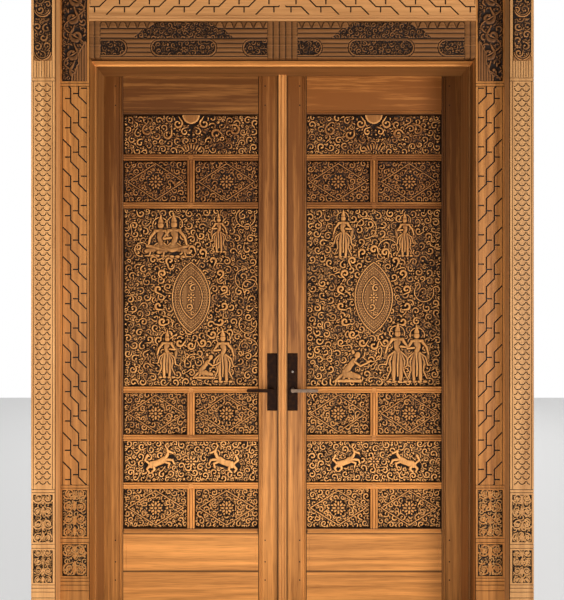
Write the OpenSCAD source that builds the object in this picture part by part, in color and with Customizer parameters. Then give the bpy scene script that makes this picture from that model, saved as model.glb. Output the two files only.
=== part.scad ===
// Carved double-leaf temple door in its timber frame.
// Millimetres. X runs to the right seen from outside, Y into the house, Z up from the floor.
// Y = 0 is the outside face of the closed leaves.

/* [Doorway] */
// Clear width between the door stops
clear_w = 1676; // [1500:1:1900]
// Clear height from the floor to the stop under the head
clear_h = 2511; // [2420:1:2640]
// Depth of the reveal, from the casing's front to the leaves
reveal_d = 215; // [190:1:260]
// Thickness of the sill under the leaves
sill_t = 15; // [10:0.5:22]

/* [Frame] */
// Thickness of the jambs beside the leaves
jamb_t = 55; // [45:1:70]
// Depth of the front boards of the casing
casing_t = 40; // [30:1:50]
// Thickness of the linings between the casing and the jambs
lining_t = 32; // [24:1:40]
// Depth of the linings
lining_d = 51; // [35:1:70]
// Radius of the rounded edge where a lining ends
nosing_r = 6; // [4:0.5:9]
// Width of the centre post's moulded front
strip_w = 42; // [36:0.5:48]
// How far the centre post's front stands out from the leaves
strip_proud = 20; // [14:0.5:26]
// Thickness of the centre post between the leaves
post_stem = 24; // [20:0.5:28]

/* [Pilasters] */
// Width of an inner pilaster
inner_pilaster_w = 125; // [110:1:140]
// Width of an outer pilaster
outer_pilaster_w = 100; // [85:1:120]
// How far the outer pilasters stand out from the inner ones
outer_pilaster_proud = 61; // [40:1:80]
// Width of the beads along the pilasters
pilaster_bead = 8.5; // [6:0.5:11]
// Height of the plain plinths
plinth_h = 200; // [160:1:240]
// Height of the carved blocks above the plinths
lower_block_h = 484; // [420:1:540]
// Height of the carved blocks below the cornice, down from the top of the header
upper_block_h = 420; // [380:1:470]
// Depth of the cuts in the pilasters
pilaster_cut = 5; // [3:0.5:8]

/* [Head of the frame] */
// Height of the carved frieze
frieze_h = 157; // [130:1:185]
// Height of the moulding over the frieze
moulding_h = 23; // [18:1:30]
// Height of the header board with the key pattern
header_h = 115; // [100:1:140]
// Height of the cornice
cornice_h = 44; // [34:1:60]
// How far the cornice stands out
cornice_proud = 45; // [30:1:60]

/* [Leaves] */
// Thickness of a leaf
leaf_t = 45; // [40:0.5:52]
// How far a leaf laps behind its stop
stop_lap = 9; // [7:0.5:12]
// Running gap beside a leaf
leaf_gap = 3; // [2.5:0.1:4]
// Running gap between the leaf and its stop
stop_gap = 0.8; // [0.5:0.1:0.9]
// Running gap under a leaf
sill_gap = 5; // [3:0.5:8]
// Width of the stiles
stile_w = 99; // [95:1:110]
// Height of the top rail
top_rail_h = 188; // [160:1:210]
// Height of the plain rail under the ledge
lower_rail_h = 178; // [150:1:210]
// Height of the bottom rail
bottom_rail_h = 165; // [140:1:190]
// Height of the ledge over the plain rail
ledge_h = 23; // [18:1:28]
// Height of the moulded bars between the carved panels
bar_h = 30; // [26:1:34]
// Width of the upright bars between small panels
upright_w = 36; // [30:1:42]
// Width of the moulded edge round the carved panels
sticking_w = 20; // [14:0.5:24]
// Depth of that moulded edge
sticking_d = 6; // [4:0.5:8]
// Depth of the grooves that hold the panels
groove_d = 8; // [6:0.5:10]
// Length of the rails' tenons
tenon_l = 62; // [55:1:70]
// Diameter of the pegs through the tenons
peg_d = 7; // [5:0.5:9]

/* [Carving] */
// Thickness of a carved panel behind its carving
panel_t = 16; // [12:0.5:18]
// Height of the lower layer of carving
carve_low = 8; // [5:0.5:9]
// Height of the upper layer of carving over the lower one
carve_high = 6; // [3:0.5:7]
// Height of the medallion over the upper layer
medallion_rise = 4; // [2:0.5:5]

/* [Lock] */
// Width of the handle plates
plate_w = 47; // [40:1:50]
// Height of the handle plates
plate_h = 270; // [230:1:290]
// Thickness of the handle plates
plate_t = 4; // [3:0.5:5]
// Height of the levers over the floor
lever_z = 1040; // [960:1:1080]
// Distance from a leaf's meeting edge to its lever spindle
backset = 33; // [31:0.5:36]
// Length of a lever from its spindle
lever_l = 118; // [100:1:130]
// Thickness of a lever
lever_t = 14; // [10:0.5:16]
// Distance from a plate to the back of its lever
lever_reach = 34; // [28:0.5:44]
// Distance from the lever spindle up to the key cylinder
key_rise = 83; // [74:1:88]
// Diameter of the key cylinder
key_d = 19; // [16:0.5:21]
// Travel of the latches and of the bolt
throw = 11; // [9:0.5:11]

/* [Hinges] */
// Length of a hinge
hinge_l = 100; // [80:1:120]
// Radius of a hinge knuckle
knuckle_r = 6.5; // [5.5:0.5:8]
// Radius of a hinge pin
pin_r = 3; // [2.5:0.25:3.5]
// Thickness of a hinge plate
hinge_t = 2.5; // [2:0.25:3]
// Number of hinges on a leaf
hinges = 4; // [3:1:5]

/* [Hidden] */

$fn = 48;
// One overrun for every cut, and the play of wood in its grooves.
over = 1;
wood_play = 1;

// Colours.
teak = [0.72, 0.45, 0.22];
teak_light = [0.80, 0.53, 0.28];
teak_dark = [0.58, 0.35, 0.17];
bronze = [0.13, 0.11, 0.09];
steel = [0.72, 0.72, 0.70];

// Places across the doorway.
stop_x = clear_w / 2;
edge_x = stop_x + stop_lap;
rebate_x = edge_x + leaf_gap;
jamb_x = rebate_x + jamb_t;
meet_x = post_stem / 2 + leaf_gap;
leaf_w = edge_x - meet_x;
panel_x0 = meet_x + stile_w;
panel_x1 = edge_x - stile_w;
panel_w = panel_x1 - panel_x0;
panel_mid = (panel_x0 + panel_x1) / 2;
inner_x = stop_x + inner_pilaster_w;
outer_x = inner_x + outer_pilaster_w;

// Places through the depth.
front_y = -reveal_d;
casing_y = front_y + casing_t;
lining_y = casing_y + lining_d;
outer_y = front_y - outer_pilaster_proud;
panel_back = leaf_t - 7 * leaf_t / 45;
panel_y = panel_back - panel_t;

// Places up the doorway.
head_z = clear_h;
leaf_top = head_z + stop_lap;
leaf_bottom = sill_t + sill_gap;
rebate_z = leaf_top + leaf_gap;
frieze_top = head_z + frieze_h;
header_z = frieze_top + moulding_h;
top_z = header_z + header_h;
rail_z = leaf_bottom + bottom_rail_h;
ledge_z = rail_z + lower_rail_h;
carved_z0 = ledge_z + ledge_h;
carved_z1 = leaf_top - top_rail_h;

// Rows of panels from the top down: wide, two small, tall, two small, wide, two small.
row_shares = [0.1035, 0.1088, 0.4665, 0.1097, 0.1083, 0.1032];
rows_h = carved_z1 - carved_z0 - 5 * bar_h;
function row_h(i) = row_shares[i] * rows_h;
function row_top(i) = i == 0 ? carved_z1 : row_top(i - 1) - row_h(i - 1) - bar_h;
function row_z(i) = row_top(i) - row_h(i);
small_w = (panel_w - upright_w) / 2;

// Helpers that place shapes.
// A shape drawn as seen from outside, from y_back towards the viewer.
module facing(y_back, depth) {
    translate([0, y_back, 0]) rotate([90, 0, 0]) linear_extrude(depth) children();
}
// The left-hand copy of something drawn on the right.
module on_left(left) {
    if (left) mirror([1, 0, 0]) children();
    else children();
}
// Children on both sides.
module both_sides() {
    children();
    mirror([1, 0, 0]) children();
}
// A rectangle between two corners.
module area(x0, z0, x1, z1) {
    translate([x0, z0]) square([x1 - x0, z1 - z0]);
}
// A profile in plan, drawn up from z0.
module upright(z0, z1) {
    translate([0, 0, z0]) linear_extrude(z1 - z0) children();
}
// A profile in (y, z), drawn across from x0 to x1.
module across(x0, x1) {
    translate([x0, 0, 0]) rotate([90, 0, 90]) linear_extrude(x1 - x0) children();
}

// Outlines for carving.
// A stroke of a width along open points, mitred at its bends.
function unit(v) = v / norm(v);
function along(p, i) = unit(p[min(i + 1, len(p) - 1)] - p[max(i - 1, 0)]);
function leg(p, i) = unit(p[i + 1] - p[i]);
function mitre(p, i) = i == 0 || i == len(p) - 1 ? 1 : max(0.4, along(p, i) * along(p, i) > 0
    ? abs(unit(leg(p, i - 1) + leg(p, i)) * leg(p, i)) : 1);
function bisect(p, i) = i == 0 ? leg(p, 0) : i == len(p) - 1 ? leg(p, i - 1)
    : unit(leg(p, i - 1) + leg(p, i));
function side_points(p, w) = [for (i = [0 : len(p) - 1])
    p[i] + [-bisect(p, i)[1], bisect(p, i)[0]] * w / 2 / mitre(p, i)];
function reversed(p) = [for (i = [len(p) - 1 : -1 : 0]) p[i]];
module stroke(p, w) polygon(concat(side_points(p, w), reversed(side_points(p, -w))));

// A volute of outer radius r from half rings that wind inwards to a round eye.
volute_shares = [1, 0.76, 0.55];
volute_band_share = 0.22;
volute_eye_share = 0.27;
module half_ring(r, w) {
    difference() {
        circle(r);
        circle(r - w);
        translate([-r - over, -r - over]) square([2 * (r + over), r + over]);
    }
}
function hundredth(v) = round(v * 100) / 100;
module volute(size, a = 0) {
    r = hundredth(size);
    w = hundredth(r * volute_band_share);
    r1 = hundredth(r * volute_shares[1]);
    r2 = hundredth(r * volute_shares[2]);
    rotate(a) {
        half_ring(r, w);
        translate([r1 - r, 0]) rotate(180) half_ring(r1, w);
        translate([r1 - r + r1 - r2, 0]) half_ring(r2, w);
        translate([2 * (r1 - r2) - (r - r1) - w, 0]) circle(hundredth(r * volute_eye_share));
    }
}
// Volutes in a field of width w and height h, from [x, z, radius, angle] shares.
module volutes(table, w, h) {
    for (s = table)
        translate([s[0] * w, s[1] * h])
            mirror([s[2] < 0 ? 1 : 0, 0]) volute(abs(s[2]) * min(w, h), s[3]);
}
// The children and their mirror image across x = 0.
module mirror_pair() {
    for (side = [0, 1]) mirror([side, 0]) children();
}
// A leaf with a point, length l and width w, growing up from the origin.
leaf_bulge_share = 0.4;
module blade(l, w, a = 0) {
    rotate(a) polygon([for (i = [0 : 8]) let (t = i / 8)
        [w / 2 * sin(180 * pow(t, leaf_bulge_share * 2)), l * t],
        for (i = [7 : -1 : 1]) let (t = i / 8)
        [-w / 2 * sin(180 * pow(t, leaf_bulge_share * 2)), l * t]]);
}
// A flower of petals round a boss.
module flower(r, petals) {
    circle(r * 0.34);
    for (i = [0 : petals - 1]) rotate(360 * i / petals)
        translate([r * 0.62, 0]) circle(r * 0.3);
}
// A pointed oval of half width a and half height b.
module vesica(a, b) {
    big = (a * a + b * b) / (2 * a);
    intersection() {
        translate([a - big, 0]) circle(big, $fn = 120);
        translate([big - a, 0]) circle(big, $fn = 120);
    }
}
module vesica_ring(a, b, w) {
    difference() {
        vesica(a, b);
        vesica(a - w, b - w * b / a);
    }
}

// The frame.
module threshold() {
    color(teak_dark)
        translate([-jamb_x, lining_y, 0]) cube([2 * jamb_x, leaf_t - lining_y, sill_t]);
}

// Places of the frame anchors and of the hinges up a jamb.
anchor_r = 5.5;
anchor_end = 300;
anchor_z = [anchor_end, rebate_z / 2, rebate_z - anchor_end];
hinge_end = 200;
hinge_z0 = leaf_bottom + hinge_end;
hinge_z1 = leaf_top - hinge_end;
hinge_z = [for (i = [0 : hinges - 1]) hinge_z0 + i * (hinge_z1 - hinge_z0) / (hinges - 1)];

// A jamb with its stop, the seats of the hinges and the holes of the frame anchors.
module jamb() {
    difference() {
        upright(sill_t, rebate_z) polygon([
            [stop_x, lining_y], [stop_x, -stop_gap], [rebate_x, -stop_gap],
            [rebate_x, leaf_t], [jamb_x, leaf_t], [jamb_x, lining_y]]);
        for (z = hinge_z)
            translate([rebate_x - over, hinge_seat_y, z - hinge_l / 2])
                cube([hinge_t + over, leaf_t - hinge_seat_y + over, hinge_l]);
        for (z = anchor_z)
            translate([rebate_x - over, leaf_t / 3, z])
                rotate([0, 90, 0]) cylinder(r = anchor_r, h = jamb_t + 2 * over);
    }
}
module jamb_left() color(teak_dark) on_left(true) jamb();
module jamb_right() color(teak_dark) jamb();

module head_jamb() {
    color(teak_dark) {
        across(-jamb_x, jamb_x) area(lining_y, rebate_z, leaf_t, rebate_z + jamb_t);
        across(-stop_x, stop_x) area(lining_y, head_z, -stop_gap, rebate_z);
    }
}

module reveal_linings() {
    color(teak) {
        both_sides() upright(0, head_z) {
            area(stop_x, casing_y, stop_x + lining_t, lining_y);
            translate([stop_x, lining_y - nosing_r]) circle(nosing_r);
        }
        across(-stop_x + nosing_r, stop_x - nosing_r) {
            area(casing_y, head_z, lining_y, head_z + lining_t);
            translate([lining_y - nosing_r, head_z]) circle(nosing_r);
        }
        both_sides()
            across(stop_x - nosing_r, stop_x + lining_t)
                area(casing_y, head_z, lining_y, head_z + lining_t);
    }
}

// The post between the leaves: a reeded front that both leaves close against, and a stem.
reed_side_r = strip_w / 8;
reed_mid_r = strip_w / 6;
module centre_post() {
    color(teak) difference() {
        union() {
            upright(sill_t, head_z) {
                area(-strip_w / 2, -strip_proud + reed_side_r, strip_w / 2, -stop_gap);
                both_sides() translate([strip_w / 2 - reed_side_r, -strip_proud + reed_side_r])
                    circle(reed_side_r);
                translate([0, -strip_proud + reed_mid_r]) circle(reed_mid_r);
            }
            upright(sill_t, rebate_z) area(-post_stem / 2, -stop_gap, post_stem / 2, leaf_t);
        }
        translate([-post_stem / 2 - over, lock_y - pocket_t / 2, lever_z - pocket_h / 2])
            cube([post_stem + 2 * over, pocket_t, pocket_h]);
        translate([0, lock_y - pocket_t / 2, key_z - pocket_h / 2])
            cube([post_stem / 2 + over, pocket_t, pocket_h]);
        both_sides() translate([post_stem / 2 - strike_t, lock_y - strike_w / 2, strike_z0])
            cube([strike_t + over, strike_w, strike_h]);
    }
}

// Bands up a pilaster, from the floor.
base_h = 55;
low_carving_h = 155;
band_h = 17;
strip_end_h = 13;
line_w = 2.5;
base_z = plinth_h + base_h;
low_carving_z = base_z + low_carving_h;
mid_carving_z = low_carving_z + band_h;
lower_strip_z = plinth_h + lower_block_h - strip_end_h * 2;
strip_z0 = lower_strip_z;
strip_z1 = top_z - upper_block_h;

// A groove across a pilaster at height z.
module line_across(x0, x1, z) area(x0, z - line_w / 2, x1, z + line_w / 2);
module pilaster_lines(x0, x1) {
    for (z = [plinth_h, plinth_h + base_h * 0.45, plinth_h + base_h * 0.75, base_z,
            low_carving_z, mid_carving_z, strip_z0 - strip_end_h, strip_z0, strip_z1,
            strip_z1 + strip_end_h])
        line_across(x0, x1, z);
    area(x0 + pilaster_bead, strip_z0, x0 + pilaster_bead + line_w, strip_z1);
    area(x1 - pilaster_bead - line_w, strip_z0, x1 - pilaster_bead, strip_z1);
}

// The key pattern: steps that climb across three columns, with short bars between them.
key_columns = 3;
key_line = 6;
key_rise_share = 1.83;
key_pitch_share = 3.7;
dash_shares = [1, 1.2, 1.45];
module key_pattern(w, l) {
    col = w / key_columns;
    rise = col * key_rise_share;
    pitch = col * key_pitch_share;
    intersection() {
        square([w, l]);
        union() for (i = [-2 : ceil(l / pitch)]) translate([0, i * pitch]) {
            stroke([[0, 0], [col, col], [col, col + rise], [2 * col, 2 * col + rise],
                [2 * col, 2 * (col + rise)], [3 * col, 3 * col + 2 * rise]], key_line);
            for (c = [0 : key_columns - 1])
                area(c * col, c * (col + rise) + col * dash_shares[c] + col * 0.9,
                    (c + 0.72) * col, c * (col + rise) + col * dash_shares[c] + col * 0.9 + key_line);
        }
    }
}

// Carved blocks: volutes left standing in a sunk field.
block_shares = [[-0.24, 0.30, 0.24, 200], [0.24, 0.30, -0.24, 200], [-0.22, -0.26, 0.22, 80],
    [0.22, -0.26, -0.22, 80]];
module carved_field(x0, z0, x1, z1) {
    w = x1 - x0;
    h = z1 - z0;
    rows = max(1, round(h / w));
    margin = pilaster_bead;
    difference() {
        area(x0 + margin, z0 + margin, x1 - margin, z1 - margin);
        for (i = [0 : rows - 1]) translate([(x0 + x1) / 2, z0 + h * (i + 0.5) / rows]) {
            volutes(block_shares, w - margin, h / rows - margin);
            for (a = [0, 180]) rotate(a) translate([0, line_w]) blade(h / rows * 0.40, w * 0.14);
        }
    }
}

module inner_pilaster() {
    pattern_w = inner_pilaster_w - 2 * (pilaster_bead + line_w);
    difference() {
        facing(casing_y, casing_t) area(stop_x, 0, inner_x, top_z);
        facing(front_y + pilaster_cut, pilaster_cut + over) {
            pilaster_lines(stop_x, inner_x);
            translate([stop_x + pilaster_bead + line_w, strip_z0])
                key_pattern(pattern_w, strip_z1 - strip_z0);
            carved_field(stop_x, base_z, inner_x, low_carving_z);
            carved_field(stop_x, mid_carving_z, inner_x, strip_z0 - strip_end_h);
            carved_field(stop_x, strip_z1 + strip_end_h, inner_x, top_z);
        }
    }
}
module inner_pilaster_left() color(teak) on_left(true) inner_pilaster();
module inner_pilaster_right() color(teak) inner_pilaster();

// Scales: staggered rows of hanging arcs, two across and then one with a half at each side.
scale_columns = 2.3;
scale_cut = 4;
scale_gap = 0.8;
scale_step_share = 0.62;
module scale_arc(r, from, to) {
    difference() {
        circle(r);
        circle(r - scale_cut);
        area(-r - over, 0, r + over, r + over);
        if (from == 0) area(-r - over, -r - over, 0, over);
        if (to == 0) area(0, -r - over, r + over, over);
    }
}
module scales(w, l) {
    pitch = w / scale_columns;
    r = pitch / 2 - scale_gap;
    step = pitch * scale_step_share;
    for (row = [1 : floor(l / step) - 1]) translate([w / 2, row * step + r])
        if (row % 2 == 0) {
            for (side = [-1, 1]) translate([side * pitch / 2, 0]) scale_arc(r, -1, 1);
        } else {
            scale_arc(r, -1, 1);
            translate([-pitch, 0]) scale_arc(r, 0, 1);
            translate([pitch, 0]) scale_arc(r, -1, 0);
        }
}

oval_h = 165;
round_h = 90;
reeds_h = 90;
module outer_pilaster() {
    x0 = inner_x;
    x1 = outer_x;
    mid = (x0 + x1) / 2;
    w = outer_pilaster_w - 2 * pilaster_bead - 2 * line_w;
    reeds_z = strip_z1 + strip_end_h + line_w;
    oval_z = reeds_z + reeds_h + line_w;
    difference() {
        facing(casing_y, casing_y - outer_y) area(x0, 0, x1, top_z);
        facing(outer_y + pilaster_cut, pilaster_cut + over) {
            pilaster_lines(x0, x1);
            translate([mid - w / 2, strip_z0]) scales(w, strip_z1 - strip_z0);
            carved_field(x0, base_z, x1, low_carving_z);
            carved_field(x0, mid_carving_z, x1, strip_z0 - strip_end_h);
            for (i = [0 : 7])
                area(mid - w / 2 + w * i / 7 - line_w / 2, reeds_z,
                    mid - w / 2 + w * i / 7 + line_w / 2, reeds_z + reeds_h);
            difference() {
                area(mid - w / 2, oval_z, mid + w / 2, top_z - line_w);
                translate([mid, oval_z + oval_h / 2]) vesica(w * 0.42, oval_h / 2);
                translate([mid, oval_z + oval_h + round_h / 2]) flower(round_h * 0.46, 8);
            }
        }
    }
}
module outer_pilasters() color(teak) both_sides() outer_pilaster();

// The frieze: petals over reeds, with carved clouds, over a row of round-ended carved fields.
petal_pitch = 43;
petal_row_h = 29;
petal_shares = [[-0.42, 0.1], [-0.12, 0.3], [0, 0.92], [0.12, 0.3], [0.42, 0.1]];
upper_reeds_h = 40;
lower_row_h = 73;
frieze_bead = 6;
reed_pitch = 13;
frieze_ring_h = 7;
end_block_w = 50;
centre_block_w = 136;
cloud_w = 430;
field_w = 285;
half_field_w = 100;
outer_field_w = 113;
cloud_shares = [[-0.415, 0.42, 0.37, 200], [-0.33, 0.50, -0.40, 20], [-0.24, 0.48, 0.42, 140],
    [-0.15, 0.50, -0.40, 250], [-0.065, 0.48, 0.36, 20], [-0.27, 1.28, 0.24, 250],
    [-0.21, 1.28, -0.24, 70], [-0.15, 1.28, 0.24, 160], [-0.09, 1.28, -0.24, 0],
    [-0.03, 1.28, 0.24, 90]];
field_shares = [[-0.37, 0, 0.33, 200], [-0.19, 0.02, -0.32, 20]];
half_field_shares = [[-0.20, 0, 0.28, 200]];
module reeds_across(x0, x1, z, h) {
    n = round(h / reed_pitch);
    for (i = [1 : n - 1]) line_across(x0, x1, z + h * i / n);
}
module reeds_upright(x0, x1, z0, z1) {
    n = round((x1 - x0) / (reed_pitch * 2));
    ring_z = z0 + (z1 - z0) * 0.45;
    for (i = [0 : n]) let (x = x0 + (x1 - x0) * i / n) area(x - line_w / 2, z0, x + line_w / 2, z1);
    for (z = [ring_z, ring_z + frieze_ring_h]) line_across(x0, x1, z);
}
// A field from x0 to x1 with a round end on each side that ends names.
module round_field(x0, x1, z, h, ends) {
    r = h / 2;
    if (ends[0]) translate([x0 + r, z + r]) circle(r);
    if (ends[1]) translate([x1 - r, z + r]) circle(r);
    area(x0 + (ends[0] ? r : 0), z, x1 - (ends[1] ? r : 0), z + h);
}
module carved_round_field(x0, x1, z, h, ends) {
    rim = frieze_bead;
    difference() {
        round_field(x0, x1, z, h, ends);
        round_field(x0 + line_w, x1 - line_w, z + line_w, h - 2 * line_w, ends);
    }
    difference() {
        round_field(x0 + rim, x1 - rim, z + rim, h - 2 * rim, ends);
        translate([(x0 + x1) / 2, z + h / 2]) children();
    }
}
module cloud_outline(h0, h1) {
    half = cloud_w / 2;
    polygon([[-half, 0], [h0 - half, h0], [h0 * 1.5 - half, h0], [h0 * 1.5 + h1 - half, h0 + h1],
        [half - h0 * 1.5 - h1, h0 + h1], [half - h0 * 1.5, h0], [half - h0, h0], [half, 0]]);
}
module frieze() {
    low_z = head_z + line_w;
    mid_z = low_z + lower_row_h;
    reeds_z0 = mid_z + frieze_bead;
    petal_z = reeds_z0 + upper_reeds_h;
    x0 = centre_block_w / 2;
    x1 = stop_x - end_block_w;
    cloud_x = (x0 + x1) / 2;
    petals = floor((x1 - x0) / petal_pitch);
    play = (x1 - x0 - petals * petal_pitch) / 2;
    fields = [[x0, x0 + half_field_w, [0, 1], half_field_shares],
        [cloud_x - field_w / 2, cloud_x + field_w / 2, [1, 1], field_shares],
        [x1 - outer_field_w, x1, [1, 0], half_field_shares]];
    color(teak) difference() {
        facing(casing_y, casing_t) area(-stop_x, head_z, stop_x, frieze_top);
        both_sides() facing(front_y + pilaster_cut, pilaster_cut + over) {
            for (z = [mid_z, reeds_z0]) line_across(x0, x1, z);
            for (span = [[x0, cloud_x - cloud_w / 2], [cloud_x + cloud_w / 2, x1]])
                reeds_across(span[0], span[1], reeds_z0, upper_reeds_h);
            difference() {
                reeds_across(x0, x1, low_z, lower_row_h);
                for (f = fields)
                    round_field(f[0] + line_w / 2, f[1] - line_w / 2, low_z + line_w / 2,
                        lower_row_h - line_w, f[2]);
            }
            reeds_upright(0, x0, head_z + line_w, frieze_top - line_w);
            reeds_upright(x1, stop_x - line_w * 2, head_z + line_w, frieze_top - line_w);
            translate([cloud_x, reeds_z0]) difference() {
                cloud_outline(upper_reeds_h, petal_row_h - line_w);
                mirror_pair() volutes(cloud_shares, cloud_w, upper_reeds_h);
            }
            for (f = fields)
                carved_round_field(f[0], f[1], low_z, lower_row_h, f[2]) {
                    mirror_pair() volutes(f[3], f[1] - f[0], lower_row_h);
                    if (f[3] == field_shares) flower(lower_row_h * 0.24, 6);
                }
            for (i = [0 : petals - 1]) let (x = x0 + play + (i + 0.5) * petal_pitch)
                if (abs(x - cloud_x) > cloud_w / 2 - upper_reeds_h)
                    translate([x, petal_z]) difference() {
                        area(-petal_pitch / 2, line_w, petal_pitch / 2, petal_row_h - line_w);
                        polygon([for (s = petal_shares) [s[0] * petal_pitch, line_w + s[1] * petal_row_h]]);
                    }
        }
    }
}

// The header: a moulding below, and a board with the key pattern laid on its side.
module header_board() {
    pattern_w = header_h - 4 * line_w;
    color(teak) {
        difference() {
            facing(casing_y, casing_t) area(-stop_x, header_z, stop_x, top_z);
            both_sides() facing(front_y + pilaster_cut, pilaster_cut + over) {
                translate([pattern_w * 0.12, header_z + 2 * line_w + pattern_w]) rotate(-90)
                    key_pattern(pattern_w, stop_x - pattern_w * 0.12 - line_w);
            }
        }
        across(-stop_x, stop_x) {
            area(front_y, frieze_top, casing_y, header_z);
            translate([front_y, frieze_top + moulding_h * 0.28]) circle(moulding_h * 0.28);
            translate([front_y, frieze_top + moulding_h * 0.78]) circle(moulding_h * 0.22);
        }
    }
}

// The cornice: a fillet, a hollow and a flat over the whole head.
module cornice() {
    hollow_r = cornice_h * 0.55;
    fillet_h = cornice_h - hollow_r - cornice_h * 0.25;
    flat_y = outer_y - cornice_proud;
    color(teak) {
        across(-outer_x - cornice_proud, outer_x + cornice_proud) {
            difference() {
                area(flat_y, top_z, casing_y, top_z + cornice_h);
                area(flat_y - over, top_z - over, outer_y - hollow_r, top_z + fillet_h + hollow_r);
                area(flat_y - over, top_z - over, outer_y, top_z + fillet_h);
                translate([outer_y - hollow_r, top_z + fillet_h]) circle(hollow_r);
            }
        }
    }
}

// The leaves. Everything is drawn for the right leaf and mirrored for the left one.
lock_y = leaf_t / 2;
spindle_x = meet_x + backset;
key_z = lever_z + key_rise;

// Sizes inside the lock.
case_t = 18;
case_wall = 1.5;
case_below = 52;
case_above = 40;
forend_t = 3;
forend_w = 22;
forend_lap = 12;
latch_t = 14;
latch_h = 28;
latch_arm = 4;
bolt_h = 30;
lock_play = 0.5;
follower_r = 9;
follower_play = 1;
spindle_w = 8;
spindle_hole_r = 7;
spindle_bore_r = 8;
neck_r = 9;
bearing_play = 0.08;
pocket_t = latch_t + 2 * lock_play;
pocket_h = bolt_h + 2 * lock_play;
strike_t = 2;
strike_w = 22;
strike_z0 = lever_z - pocket_h;
strike_h = key_rise + 2 * pocket_h;
case_x0 = meet_x + forend_t;
latch_back_x = spindle_x + follower_r + follower_play + latch_arm;
case_x1 = latch_back_x + throw + 2 * case_wall + lock_play;
case_z0 = lever_z - case_below;
case_z1 = key_z + case_above;

// Sizes inside a hinge.
hinge_seat_y = leaf_t / 3;
knuckle_gap = 0.5;
knuckle_play = 0.3;
knuckles = 5;
pin_head = 3;
hinge_x = rebate_x - leaf_gap / 2;
hinge_y = leaf_t + knuckle_r + knuckle_gap;

// Tenons and the pegs through them: [height of the peg, side of the leaf].
tenon_shoulder = 20;
peg_x0 = meet_x + stile_w * 0.67;
peg_x1 = edge_x - stile_w * 0.63;
peg_z = [leaf_top - top_rail_h * 0.29, leaf_top - top_rail_h * 0.77, ledge_z - lower_rail_h * 0.18,
    rail_z + lower_rail_h * 0.25, leaf_bottom + bottom_rail_h * 0.75];

module peg_holes() {
    for (x = [peg_x0, peg_x1], z = peg_z)
        translate([x, leaf_t + over, z]) rotate([90, 0, 0])
            cylinder(d = peg_d, h = leaf_t + 2 * over);
}
// The tenons of a rail from z0 to z1, in the plane of the panels.
module tenons(z0, z1) {
    for (x = [panel_x0 - tenon_l, panel_x1])
        translate([x, panel_y, z0 + tenon_shoulder])
            cube([tenon_l, panel_t, z1 - z0 - 2 * tenon_shoulder]);
}
module all_tenons() {
    tenons(carved_z1, leaf_top);
    tenons(rail_z, ledge_z);
    tenons(leaf_bottom, rail_z);
}

// The section of a stile in plan, its moulded edge towards the panels at x = 0.
module stile_section() {
    difference() {
        area(0, 0, stile_w, leaf_t);
        area(-over, -over, sticking_w, sticking_d);
        area(-over, panel_y, groove_d, panel_back);
    }
    translate([sticking_d, sticking_d]) circle(sticking_d * 0.9);
    translate([sticking_w - sticking_d * 0.6, sticking_d]) circle(sticking_d * 0.55);
}
module hinge_stile() {
    difference() {
        upright(leaf_bottom, leaf_top) translate([panel_x1, 0]) stile_section();
        all_tenons();
        peg_holes();
        for (z = hinge_z)
            translate([edge_x - hinge_t, hinge_seat_y, z - hinge_l / 2])
                cube([hinge_t + over, leaf_t - hinge_seat_y + over, hinge_l]);
    }
}
module meeting_stile(keyed) {
    difference() {
        upright(leaf_bottom, leaf_top)
            translate([panel_x0, 0]) mirror([1, 0]) stile_section();
        all_tenons();
        peg_holes();
        translate([case_x0 - over, lock_y - case_t / 2, case_z0])
            cube([case_x1 - case_x0 + over, case_t, case_z1 - case_z0]);
        translate([meet_x - over, lock_y - forend_w / 2, case_z0 - forend_lap])
            cube([forend_t + over, forend_w, case_z1 - case_z0 + 2 * forend_lap]);
        translate([spindle_x, leaf_t + over, lever_z]) rotate([90, 0, 0])
            cylinder(r = spindle_bore_r, h = leaf_t + 2 * over);
        if (keyed)
            translate([spindle_x, leaf_t + over, key_z]) rotate([90, 0, 0])
                cylinder(d = key_d, h = leaf_t + 2 * over);
    }
}
module left_hinge_stile() color(teak) on_left(true) hinge_stile();
module right_hinge_stile() color(teak) hinge_stile();
module left_meeting_stile() color(teak) on_left(true) meeting_stile(false);
module right_meeting_stile() color(teak) meeting_stile(true);

// The top rail, moulded and grooved along its lower edge.
module top_rail() {
    difference() {
        union() {
            across(panel_x0, panel_x1) {
                difference() {
                    area(0, carved_z1, leaf_t, leaf_top);
                    area(-over, carved_z1 - over, sticking_d, carved_z1 + sticking_w);
                    area(panel_y, carved_z1 - over, panel_back, carved_z1 + groove_d);
                }
                translate([sticking_d, carved_z1 + sticking_d]) circle(sticking_d * 0.9);
            }
            tenons(carved_z1, leaf_top);
        }
        peg_holes();
    }
}
// The plain rails below the carving, with a narrow joint between them.
joint_w = 1.5;
shoulder_x = 14;
module lower_rail() {
    difference() {
        union() {
            across(panel_x0, panel_x1) area(0, rail_z, leaf_t, ledge_z);
            tenons(rail_z, ledge_z);
        }
        peg_holes();
        facing(line_w, line_w + over) for (x = [panel_x0 + shoulder_x, panel_x1 - shoulder_x])
            area(x - line_w / 2, rail_z - over, x + line_w / 2, ledge_z + over);
        translate([0, -over, rail_z - over]) cube([edge_x, joint_w + over, joint_w + over]);
    }
}
module bottom_rail() {
    difference() {
        union() {
            across(panel_x0, panel_x1) area(0, leaf_bottom, leaf_t, rail_z);
            tenons(leaf_bottom, rail_z);
        }
        peg_holes();
    }
}
module left_top_rail() color(teak_dark) on_left(true) top_rail();
module right_top_rail() color(teak_dark) top_rail();
module left_lower_rail() color(teak_light) on_left(true) lower_rail();
module right_lower_rail() color(teak_light) lower_rail();
module left_bottom_rail() color(teak_light) on_left(true) bottom_rail();
module right_bottom_rail() color(teak_light) bottom_rail();

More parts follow.
